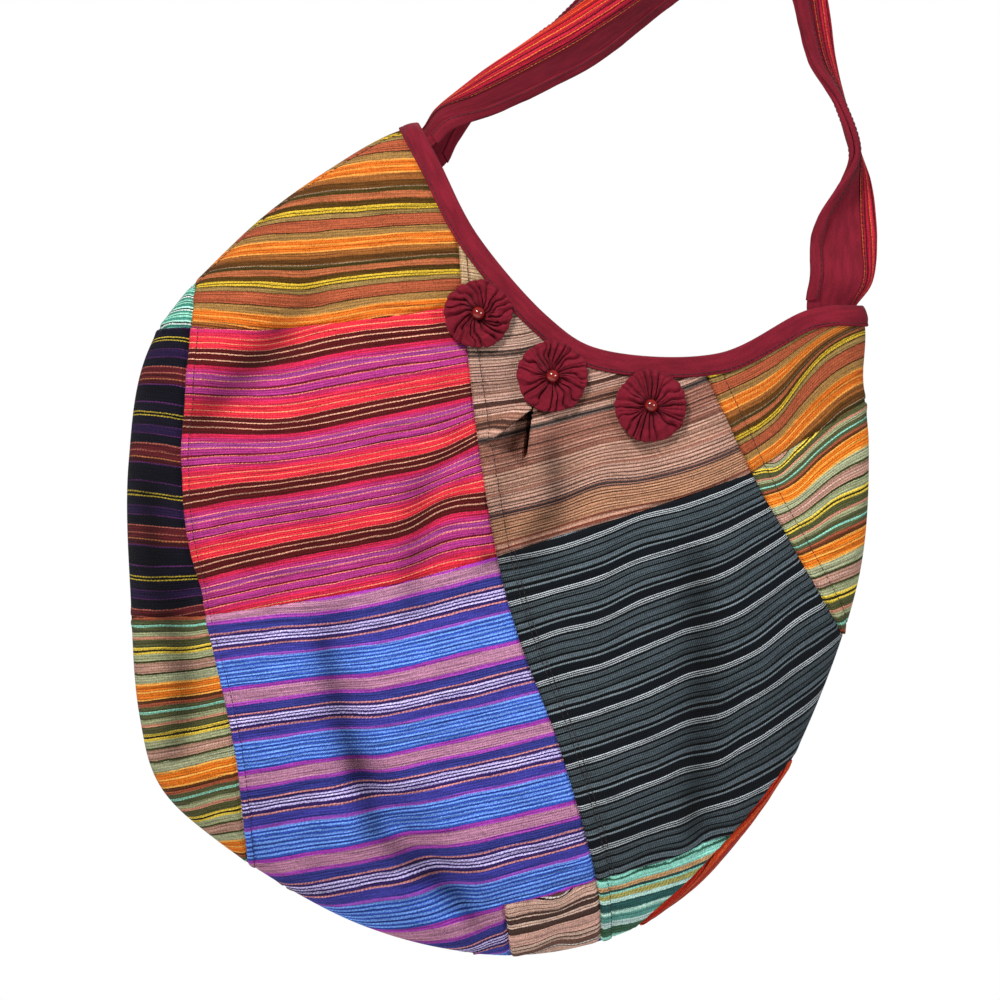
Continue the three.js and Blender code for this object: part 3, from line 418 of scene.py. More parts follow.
# the cloths, stripe by stripe: colour, width in mm, share that is dashed
clothLooks = {
    "amber": {"ground": "4a2b10", "strength": 0.79, "stripes": [
        ("efc83c", 1.1, .15), ("4a320e", .45), ("efc83c", 1, .15), ("4a3510", .6), ("a5854e", 2.1),
        ("4a2b10", .5, .5), ("b85d3c", 6), ("4a2b10", .5, .5), ("ad8148", 3.6), ("ffa94e", .85),
        ("e67422", 2.3), ("ffa54a", .8), ("e67422", 2.3), ("ffa94e", .85), ("a4632e", 3.1), ("663f18", 3),
        ("b29478", .5, .3), ("4c3d17", 1.9), ("c06c44", 3), ("573b12", 2.7)]},
    "magenta": {"ground": "7a1c4c", "strength": 1.03, "stripes": [
        ("531214", 2.2), ("ebb290", .6, .3), ("531214", 3), ("ebb290", .6, .3), ("531214", 3),
        ("cc264e", 2.4), ("b82e70", 2.4), ("f49983", .55, .4), ("a03c88", 2.4), ("f49983", .55, .4),
        ("ac347c", 3.2), ("670c1e", .8), ("fa9477", .5, .35), ("b03684", 3.5), ("670c1e", .8),
        ("fa9477", .45, .4), ("c62a62", 2), ("d62a4a", 2.6), ("ff9d72", .5, .35), ("e22e40", 2.8),
        ("ff9d72", .5, .35), ("e22e40", 2.8), ("feaa88", .4, .4)]},
    "blue": {"ground": "2c1c54", "strength": 1.3, "stripes": [
        ("c6baee", .85, .3), ("2c1c54", .8), ("c6baee", .85, .3), ("2c1c54", .8), ("c6baee", .85, .3),
        ("2c1c54", 1.5), ("cc8684", .8, .4), ("38368a", 4.4), ("8444a8", 1.6)] + [("6c9aea", .95, .2),
        ("2a46a0", 1.05)] * 7 + [("93369e", 2), ("a6728e", 6.2), ("963ea0", 1.8), ("30327a", 4.6),
        ("cc8684", .8, .4), ("2c1c54", 1.5)]},
    "charcoal": {"ground": "080b0e", "strength": 0.8, "wander": 1.2, "fray": 0.3, "dash": 1.2, "stripes": [
        ("dfe8ee", .45, .4), ("0a0d11", .5), ("dfe8ee", .45, .4), ("0a0d11", .5), ("d3dee5", .45, .4),
        ("0a0d11", 1.1), ("566269", 2, .6), ("080b0e", .9), ("5a6870", 2.8, .6), ("080b0e", .6),
        ("4a565c", 1.6, .6), ("080b0e", 1), ("6d7c85", 2.3, .55), ("080b0e", 1.5), ("8a99a2", .9, .5),
        ("0e131a", 4.16)]},
    "olive": {"ground": "383415", "strength": 0.98, "stripes": [
        ("f2d24c", 1.2, .2), ("2d2712", .9), ("f2d24c", 1.2, .2), ("a3a880", 3.4), ("3c4221", 1),
        ("b58a78", 2.2), ("e0b0a4", .6, .3), ("b58a78", 2.2), ("3c4221", .9), ("a8ac88", 4.4),
        ("f7b052", 1.2), ("e8791e", 2.8), ("f7b052", .8), ("e8791e", 3), ("f7b052", 1),
        ("633115", 1.6, .4), ("a5553a", 1.8), ("555838", 2.2), ("8fd4bd", 1.2, .2), ("555838", 2.8),
        ("a3a880", 2.2), ("c98a70", 1.6), ("525431", 3.8)]},
    "navy": {"ground": "100d1b", "strength": 0.66, "stripes": [
        ("e8cc48", .6, .4), ("0c0a0d", 1), ("e8cc48", .6, .4), ("171326", 4.2), ("5c2a66", .5, .4),
        ("2c1a46", 3.6), ("5c2a66", .5, .4), ("141121", 4.4), ("d07262", .6, .45), ("6a2028", 2.8),
        ("d07262", .6, .45), ("6a2028", 2.5), ("d08050", .6, .45), ("521824", 2.2), ("6a3074", .6, .4),
        ("100e1d", 8.6), ("6a3074", .6, .4), ("171326", 4.5)]},
    "taupe": {"ground": "6a463b", "wander": 1.2,
        "lines": {"gap": 1.8, "colour": "2b1411", "pale": "ead8c8"}, "stripes": [
        ("c8a67e", 10, .5), ("8c7056", 2, .3), ("c9a88c", 9, .6), ("6a5344", 1.4), ("bd9887", 10, .7),
        ("584339", 1), ("bf9887", 7.6, .7), ("453732", 1.6), ("8a6b5e", .6), ("453732", 1.8),
        ("b89080", 5, .7), ("6a4a3f", .8), ("b3887a", 8, .75), ("5c4037", .8), ("a97f70", 6, .7),
        ("7a5344", .7), ("c49989", 5.4, .6), ("4a3028", 2.6), ("b88c7c", 4.4, .7), ("a0705e", 3.6, .4),
        ("4a3028", 1.8), ("8a5e4d", .8), ("4a3028", 1.6), ("c49785", 3.8, .5), ("3f322e", 1.3, .4),
        ("6a4d43", .5), ("3f322e", 1.3, .4), ("9a6555", 6.6, .5), ("50342a", .7), ("9a6555", 4.4, .5),
        ("c09382", .8), ("966151", 4.6, .5), ("b98975", 9.4, .8), ("9a6756", 1.8), ("be907e", 7.6, .8),
        ("433434", .9), ("9a6e5e", .6), ("433434", 1), ("9a6e5e", .6), ("433434", 1), ("b9815f", 14, .85),
        ("7a4434", 1.2), ("c99780", 2.6, .4), ("8a4636", 1), ("d09c89", 4), ("c8a67e", 24, .5)]},
    "cocoa": {"ground": "5a4038", "wander": 0.8, "strength": 1.12, "stripes": [
        ("e8e0d8", .7, .4), ("3a2c28", .6), ("cfa898", 2.0), ("7a584c", .4), ("cfa898", 1.6),
        ("7a584c", .4), ("cfa898", 1.4), ("4a342e", 1.2), ("d8b8a8", .6), ("4a342e", 2.3), ("d8b8a8", .9),
        ("7a584c", .4), ("d8b8a8", .8), ("4a342e", 2.9), ("d2a496", 6), ("5a4038", .6), ("d2b0a0", 1.6),
        ("5a4038", .8), ("d2b0a0", 1.4), ("6a4a40", 3.4)]},
    "mint": {"ground": "38604e", "wander": 0.8, "strength": 1.05, "stripes": [
        ("94dcca", 3.5), ("2e5a48", .8), ("94dcca", 3), ("d4a070", 1.8, .3), ("2c4a44", 1.2),
        ("94dcca", .8), ("bcb060", 2.4, .4), ("bfe8de", 1.8), ("2c5a58", 4), ("b6e0d2", 1.8),
        ("5a9a90", 3.5), ("b8d4d0", 3), ("365c44", 5.4)]},
    "teal": {"ground": "2c5a52", "strength": 1.2, "stripes": [
        ("3f8577", 1.6), ("8fd4bd", 1.4), ("2c6258", .7), ("8fd4bd", 1.1), ("3f8577", 1.9),
        ("a8e0cc", 1.1), ("26383a", 1), ("e8efe8", .8, .3)]},
    "red": {"ground": "8a1c14", "stripes": [
        ("c8321c", 2.6), ("7a1814", .8), ("d84a24", 2.8), ("e8863c", .5, .4), ("c02c1c", 2.3)]},
    "band": {"ground": "4e0a16", "wander": 0.5, "stripes": [
        ("d4401a", 1.6), ("fc812d", .4, .3), ("cc2e1a", 1.7), ("701113", .5), ("d0301d", 1.7),
        ("fc7930", .4, .3), ("bb2122", 1.5), ("4e0a16", .6), ("c31f2d", 1.7), ("70111c", .4),
        ("fe8532", .4, .3), ("b21d30", 1.6), ("4e0a16", .7), ("bb2137", 1.6), ("f67b32", .35, .3),
        ("811321", .8), ("aa1b32", 1.6), ("4e0a16", .8), ("941729", 1.6), ("f67b32", .3, .4),
        ("77111f", 1.2)]},
}
cloths = {name: stripedCloth("striped_" + name, look) for name, look in clothLooks.items()}
chartLength = {name: sum(row[1] for row in look["stripes"]) for name, look in clothLooks.items()}
maroonCloth = plainCloth("maroon_cotton", "6f1626", "861d2f")
rosetteCloth = plainCloth("maroon_gathers", "6a1222", "82192d")
print("cloths dyed:", len(cloths) + 2)

# the body's surface
body = {
    "mouthLine": -220.0, "centre": (-15.0, 235.0), "meanReach": 205, "frontSwell": 46.0, "backSwell": 38.0,
    "slack": 0.6, "fillsBetween": (30, 230), "crown": 1.3, "edgeRoll": 9.0, "edgeTightness": 56,
    "clothWall": 1.6, "halfGap": -0.15, "calmPower": 10, "outlineSteps": 2400}
outline = [(-141, -2), (-180, 43), (-212, 98), (-236, 174), (-222, 243), (-190, 318), (-161, 376),
           (-135, 409), (-92, 426), (5, 440), (85, 426), (138, 395), (174, 350), (195, 288), (201, 225),
           (195, 140), (172, 70), (155.5, 38), (138, -1), (75, -28), (0, -34), (-75, -28)]
centre = np.array(body["centre"])
arms = centripetal(outline, np.linspace(0, 1, body["outlineSteps"], endpoint=False), closed=True) - centre
bearings = np.arctan2(arms[:, 1], arms[:, 0])
inOrder = np.argsort(bearings)
bearings, reaches = bearings[inOrder], np.linalg.norm(arms, axis=1)[inOrder]


def reachAt(bearing):     # mm from the centre to the outline
    return np.interp(bearing, bearings, reaches, period=fullTurn)


def bearingOf(place):
    arm = np.asarray(place, float) - centre
    return np.arctan2(arm[..., 1], arm[..., 0])


def outlineAt(bearing):
    reach = reachAt(bearing)
    return centre + np.stack([np.cos(bearing) * reach, np.sin(bearing) * reach], axis=-1)


def outwardness(place):     # 0 at the centre, 1 on the outline
    return np.linalg.norm(place - centre, axis=-1) / reachAt(bearingOf(place))


def crownedDepth(out, swell):     # a tight roll at the outline plus a crowned swell; and the roll's share
    edge = np.sqrt(np.maximum(1 - out ** body["edgeTightness"], 1e-8))
    return body["edgeRoll"] * edge + swell * (1 - out**2) * (1 + body["crown"] * out**2), edge


def panelSurface(facing, place):     # the swell is fullest low down; the normal comes from its slope
    slack, roll, tight, crown = (body[key] for key in ("slack", "edgeRoll", "edgeTightness", "crown"))
    swell = body["frontSwell"] if facing < 0 else body["backSwell"]
    swell = swell * (slack + (1 - slack) * smoothstep(place[..., 1], *body["fillsBetween"]))
    out = np.minimum(outwardness(place), 1)
    depth, edge = crownedDepth(out, swell)
    slope = swell * (2 * (crown - 1) * out - 4 * crown * out**3)
    slope = slope - roll * tight * out ** (tight - 1) / (2 * edge)
    step = 0.05
    slopeX = (outwardness(place + (step, 0)) - outwardness(place - (step, 0))) / (2 * step)
    slopeDrop = (outwardness(place + (0, step)) - outwardness(place - (0, step))) / (2 * step)
    point = np.stack([place[..., 0], facing * depth, body["mouthLine"] - place[..., 1]], axis=-1)
    normal = unit(np.stack([-slope * slopeX, np.full_like(slope, facing), slope * slopeDrop], axis=-1))
    return point, normal, out


# soft folds of the front (-1) and the back (1): from place, to place, width, height
folds = {
    -1: [(-31, 140, -40, 160, 6, 2.4), (-5, 134, -3, 158, 7, 2.2), (-46, 165, -53, 180, 8, -3.5),
         (29, 132, 49, 168, 11, 2.5), (50, 128, 72, 150, 10, -2.4), (6, 135, 28, 180, 9, -4),
         (-5, 140, 14, 176, 7, 2.6), (101, 175, 168, 312, 13, -6.5), (96, 140, 160, 214, 15, 3.2),
         (-74, 287, -28, 362, 13, -8), (-28, 362, 52, 408, 12, -8), (10, 350, 62, 384, 14, 3.2),
         (-190, 200, -120, 215, 16, 2), (-78, 292, -34, 366, 6, -1.8), (-60, 284, -16, 350, 7, 1.4),
         (-55, 165, -62, 190, 5, 2), (20, 262, 62, 330, 10, 1.8), (104, 196, 150, 262, 9, -1.8),
         (78, 205, 128, 290, 9, 1.6), (-150, 60, -90, 100, 12, -1.4), (-168, 115, -192, 196, 14, -6),
         (-194, 255, -163, 300, 11, -2), (-163, 300, -131, 366, 11, -5.5), (-120, 150, -70, 240, 10, -1.2),
         (-170, 250, -120, 290, 9, -1.6), (-40, 330, 10, 400, 9, 1.6)],
    1: [(-40, 120, -70, 250, 20, -4), (40, 120, 96, 270, 20, -4), (-120, 330, 60, 372, 18, -3)]}
# painted shade: streaks along the folds where the cloth's colour is darkened to stand in for the shade
# there; from place, to place, width, share of colour darkened
paintedShadeStreaks = [
    (107, 176, 137, 239, 10, 0.54), (137, 239, 163, 312, 10, 0.54), (-165, 118, -170, 141, 9, 0.32),
    (-170, 141, -194, 199, 12, 0.61), (-76, 297, -50, 337, 9, 0.58), (-50, 337, -9, 386, 9, 0.64),
    (-9, 386, 61, 412, 7, 0.54), (-207, 251, -180, 305, 7, 0.56), (-177, 304, -146, 348, 9, 0.61),
    (-146, 348, -135, 384, 9, 0.58), (5, 145, 16, 169, 9, 0.54), (16, 169, 12, 199, 10, 0.54),
    (-20, 150, -8, 200, 10, 0.28), (-8, 214, 14, 205, 8, 0.51), (-62, 190, -40, 255, 9, 0.26)]
# soft waves: height, mm across and down, shift, seed
waves = [(1.3, 46, 34, 0, 3), (0.65, 19, 15, 5, 4), (0.22, 8, 7, 0, 5)]
tuck = {     # the pinched pleat; lines in mm right and down, as seen
    "rightEdge": ((-61.8, 106.4), (-65.8, 139.2)), "flap": ((-87.9, 126.4), (-61.8, 106.4)),
    "floorEnd": ((-87.9, 126.4), (-65.8, 139.2)), "flapSquare": (0.608, 0.793), "length": 32,
    "depth": 9.5, "flapRise": 3.2, "lipRise": 2.2, "slitDepth": 9,
    "flapOver": 2.6, "flapUnder": 1.6, "edgeOver": 1.0, "edgeUnder": 0.4,
    "busyAcross": (0.02, 0.25), "busyDown": (0.48, 0.76)}


def fromSegment(place, start, end):     # distance to a line's stretch
    start, end = np.array(start, float), np.array(end, float)
    along = end - start
    share = np.clip(((place - start) @ along) / (along @ along), 0, 1)
    return np.linalg.norm(place - start - share[..., None] * along, axis=-1)


def paintedShadeAt(place):     # painted shade: the strongest of the streaks, each a bell across its line
    deep = np.zeros(place.shape[:-1])
    for x, drop, toX, toDrop, width, share in paintedShadeStreaks:
        deep = np.maximum(deep, share * bump(fromSegment(place, (x, drop), (toX, toDrop)), 0, width))
    return deep


def foldHeight(facing, place):     # the sum of the folds, each a bell across its line
    height = np.zeros(place.shape[:-1])
    for x, drop, toX, toDrop, width, lift in folds[facing]:
        height += lift * bump(fromSegment(place, (x, drop), (toX, toDrop)), 0, width)
    return height


def sideOf(place, start, end):     # how far a place lies to the left of a line, seen going down it
    start, end = np.array(start, float), np.array(end, float)
    along = (end - start) / np.linalg.norm(end - start)
    return -((place[..., 0] - start[0]) * along[1] - (place[..., 1] - start[1]) * along[0])


def tuckSides(place):     # mm left of the pleat's edge and below its flap, and the share down the edge
    view = seen(place)
    along = (view[..., 1] - tuck["rightEdge"][0][1]) / tuck["length"]
    return view, sideOf(view, *tuck["rightEdge"]), sideOf(view, *tuck["flap"]), along


def tuckHeight(place):     # a flap pinched over a pocket whose floor falls to a sharp right edge
    view, left, below, along = tuckSides(place)
    above = -sideOf(view, *tuck["floorEnd"])
    floor = np.maximum(1 - np.maximum(left, 0) / tuck["length"], 0) ** 0.6 * smoothstep(above, -7, 1.5)
    floor = floor * smoothstep(left, -0.4, 0.7) * smoothstep(below, -0.4, 0.7)
    flap = bump(below, -1.3, 1.9) * between(left, -1.5, 1.5, 22, 34)
    lip = bump(left, -2.4, 2.6) * between(along, -0.2, 0.1, 0.7, 1.3)
    slit = bump(left, 1.3, 1.0) * between(along, -0.1, 0.1, 0.8, 1.1)
    return (tuck["flapRise"] * flap + tuck["lipRise"] * lip
            - tuck["depth"] * floor - tuck["slitDepth"] * slit)


def tuckShift(place):     # cloth drawn over the pocket along its two lips, and the floor drawn under them
    _, left, below, along = tuckSides(place)
    inPocket, leftOfEdge = smoothstep(below, -0.3, 0.6), smoothstep(left, -0.6, 0.3)
    flap = ((1 - inPocket) * bump(below, -0.6, 2.4) * tuck["flapOver"]
            - inPocket * bump(below, 0.8, 1.8) * tuck["flapUnder"]) * between(left, -1, 3, 20, 27)
    edge = (leftOfEdge * bump(left, 0.8, 1.8) * tuck["edgeUnder"]
            - (1 - leftOfEdge) * bump(left, -0.5, 2.6) * tuck["edgeOver"])
    edge = edge * between(along, -0.05, 0.12, 0.9, 1.2)
    right, down = tuck["flapSquare"]
    return unseen(np.stack([flap * right + edge, flap * down], axis=-1))


def bodyHeight(facing, place, out):     # folds, the pleat, and waves that calm down toward the outline
    height = foldHeight(facing, place)
    if facing < 0:
        height += tuckHeight(place)
    view = seen(place)
    calm = 1 - out ** body["calmPower"]
    for lift, wide, tall, shift, seed in waves:
        height += calm * lift * valueNoise(view[..., 0] / wide + shift, view[..., 1] / tall, seed)
    return height


# seams and patches
junctions = {
    "amberLeft": (-218, 156), "blueLeft": (-148, 308), "amberRight": (-76.5, 85), "taupeLow": (-3.4, 212),
    "mintLeft": (121, 364), "mintRight": (185, 311), "cocoaTop": (76.6, 397), "citrusLeft": (115, 111.5),
    "backUpLeft": (-82, 196), "backUpRight": (86, 224)}
onOutline = {
    "leftTip": (-141, -2), "sideTop": (-226, 132), "tealLow": (-234, 164), "oliveTop": (-186, 325),
    "sideLow": (-70, 429), "cocoaLow": (90, 421), "middleLow": (137, 396), "redLow": (154, 379),
    "redTop": (198, 256), "cornerLow": (200, 178), "citrusRight": (161, 47), "rightTip": (138, -1),
    "backLeft": (-232, 150), "backRight": (200, 245), "backLowLeft": (-45, 434),
    "backLowRight": (70, 430)}
onRim = {"middleTop": -102, "cornerTop": 62, "backTopLeft": -62, "backTopRight": 58}
for name, place in onOutline.items():
    junctions[name] = outlineAt(bearingOf(place))
rimPoints = np.array([junctions["leftTip"], (-122, 13.8), (-84, 46.1), (-28.4, 74.3), (12, 79.3),
                      (71.8, 56.1),
                      (109.6, 13.8), junctions["rightTip"]], float)


def rimAt(share):     # the scooped rim from the left tip to the right
    return evenSpline(rimPoints, share)


rimSteps = np.linspace(0, 1, 4001)
rimShares = {"leftTip": 0.0, "rightTip": 1.0}
denseRim = rimAt(rimSteps)
for name, x in onRim.items():
    rimShares[name] = float(np.interp(x, denseRim[:, 0], rimSteps))
    junctions[name] = rimAt(rimShares[name])

seams = {
    "side": ["sideTop", "amberLeft", (-206, 197), (-190, 240), (-172, 274), "blueLeft", (-118, 349),
             (-95, 385), "sideLow"],
    "middle": ["middleTop", "amberRight", (-39, 154), "taupeLow", (27, 252), (73, 302), "mintLeft",
               "middleLow"],
    "corner": ["cornerTop", "citrusLeft", (150, 139), "cornerLow"],
    "lowCorner": ["redTop", "mintRight", (174, 338), "redLow"],
    "tealRow": ["tealLow", "amberLeft"], "oliveRow": ["oliveTop", "blueLeft"],
    "amberRow": ["amberLeft", (-186, 143), (-144, 124), "amberRight"],
    "blueRow": ["blueLeft", (-109, 285), (-55, 251), "taupeLow"],
    "cocoaRow": ["cocoaTop", (99, 382), "mintLeft"], "dart": ["cocoaTop", "cocoaLow"],
    "taupeRow": ["taupeLow", (27, 186), (63, 157), "citrusLeft"],
    "mintRow": ["mintLeft", (153, 339), "mintRight"], "citrusRow": ["citrusLeft", (139, 78),
                                                                    "citrusRight"],
    "backLeftColumn": ["backTopLeft", "backUpLeft", (-72, 320), "backLowLeft"],
    "backRightColumn": ["backTopRight", "backUpRight", (90, 330), "backLowRight"],
    "backLeftRow": ["backLeft", (-158, 181), "backUpLeft"], "backMiddleRow": ["backUpLeft", (0, 220),
                                                                              "backUpRight"],
    "backRightRow": ["backUpRight", (144, 231), "backRight"]}
columnSeams = ("side", "middle", "corner", "lowCorner", "dart", "backLeftColumn", "backRightColumn")


def stretch(line, start, end):     # part of a seam, the rim or the outline, as points
    shares = np.linspace(0, 1, 161)
    if line == "outline":
        first, turn = bearingOf(junctions[start]), bearingOf(junctions[end]) - bearingOf(junctions[start])
        return outlineAt(first + shares * ((turn + np.pi) % fullTurn - np.pi))
    if line == "rim":
        return rimAt(rimShares[start] + shares * (rimShares[end] - rimShares[start]))
    knots = seams[line]
    first, last = knots.index(start) / (len(knots) - 1), knots.index(end) / (len(knots) - 1)
    places = [junctions[knot] if isinstance(knot, str) else knot for knot in knots]
    return evenSpline(places, first + shares * (last - first))


def readSide(text):     # "line start end, line start end" or one place's name
    if " " not in text:
        return np.repeat(np.array([junctions[text]], float), 2, axis=0), [0.0, 1.0], [None]
    parts = [part.split() for part in text.split(", ")]
    lines = [stretch(*part) for part in parts]
    lengths = np.cumsum([lengthAlong(line)[-1] for line in lines])
    return np.concatenate(lines), [0.0, *(lengths / lengths[-1])], [part[0] for part in parts]


# each patch: cloth, then its top, right, bottom and left side
patches = {
    "front_teal": ("teal", "sideTop", "side sideTop amberLeft", "tealRow tealLow amberLeft",
                   "outline sideTop tealLow"),
    "front_navy": ("navy", "tealRow tealLow amberLeft", "side amberLeft blueLeft",
                   "oliveRow oliveTop blueLeft",
                   "outline tealLow oliveTop"),
    "front_olive": ("olive", "oliveRow oliveTop blueLeft", "side blueLeft sideLow", "sideLow",
                    "outline oliveTop sideLow"),
    "front_amber": ("amber", "leftTip", "rim leftTip middleTop, middle middleTop amberRight",
                    "side sideTop amberLeft, amberRow amberLeft amberRight", "outline leftTip sideTop"),
    "front_magenta": ("magenta", "amberRow amberLeft amberRight", "middle amberRight taupeLow",
                      "blueRow blueLeft taupeLow", "side amberLeft blueLeft"),
    "front_blue": ("blue", "blueRow blueLeft taupeLow",
                   "middle taupeLow mintLeft, cocoaRow mintLeft cocoaTop, dart cocoaTop cocoaLow",
                   "outline sideLow cocoaLow", "side blueLeft sideLow"),
    "front_cocoa": ("cocoa", "cocoaRow cocoaTop mintLeft", "middle mintLeft middleLow",
                    "outline cocoaLow middleLow",
                    "dart cocoaTop cocoaLow"),
    "front_taupe": ("taupe", "rim middleTop cornerTop", "corner cornerTop citrusLeft",
                    "taupeRow taupeLow citrusLeft",
                    "middle middleTop taupeLow"),
    "front_charcoal": ("charcoal", "taupeRow taupeLow citrusLeft",
                       "corner citrusLeft cornerLow, outline cornerLow redTop",
                       "mintRow mintLeft mintRight, lowCorner mintRight redTop",
                       "middle taupeLow mintLeft"),
    "front_mint": ("mint", "mintRow mintLeft mintRight", "lowCorner mintRight redLow",
                   "outline middleLow redLow",
                   "middle mintLeft middleLow"),
    "front_citrus_upper": ("amber", "rim cornerTop rightTip", "outline rightTip citrusRight",
                           "citrusRow citrusLeft citrusRight", "corner cornerTop citrusLeft"),
    "front_citrus_lower": ("olive", "citrusRow citrusLeft citrusRight", "outline citrusRight cornerLow",
                           "cornerLow",
                           "corner citrusLeft cornerLow"),
    "front_red": ("red", "redTop", "outline redTop redLow", "redLow", "lowCorner redTop redLow"),
    "back_olive": ("olive", "leftTip", "rim leftTip backTopLeft, backLeftColumn backTopLeft backUpLeft",
                   "backLeftRow backLeft backUpLeft", "outline leftTip backLeft"),
    "back_magenta": ("magenta", "rim backTopLeft backTopRight",
                     "backRightColumn backTopRight backUpRight",
                     "backMiddleRow backUpLeft backUpRight", "backLeftColumn backTopLeft backUpLeft"),
    "back_charcoal": ("charcoal", "rim backTopRight rightTip", "outline rightTip backRight",
                      "backRightRow backUpRight backRight", "backRightColumn backTopRight backUpRight"),
    "back_navy": ("navy", "backLeftRow backLeft backUpLeft", "backLeftColumn backUpLeft backLowLeft",
                  "backLowLeft",
                  "outline backLeft backLowLeft"),
    "back_amber": ("amber", "backMiddleRow backUpLeft backUpRight",
                   "backRightColumn backUpRight backLowRight",
                   "outline backLowLeft backLowRight", "backLeftColumn backUpLeft backLowLeft"),
    "back_blue": ("blue", "backRightRow backUpRight backRight", "outline backRight backLowRight",
                  "backLowRight",
                  "backRightColumn backUpRight backLowRight"),
}
slotOf = {"front_citrus_upper": "citrus", "front_citrus_lower": "citrus"}

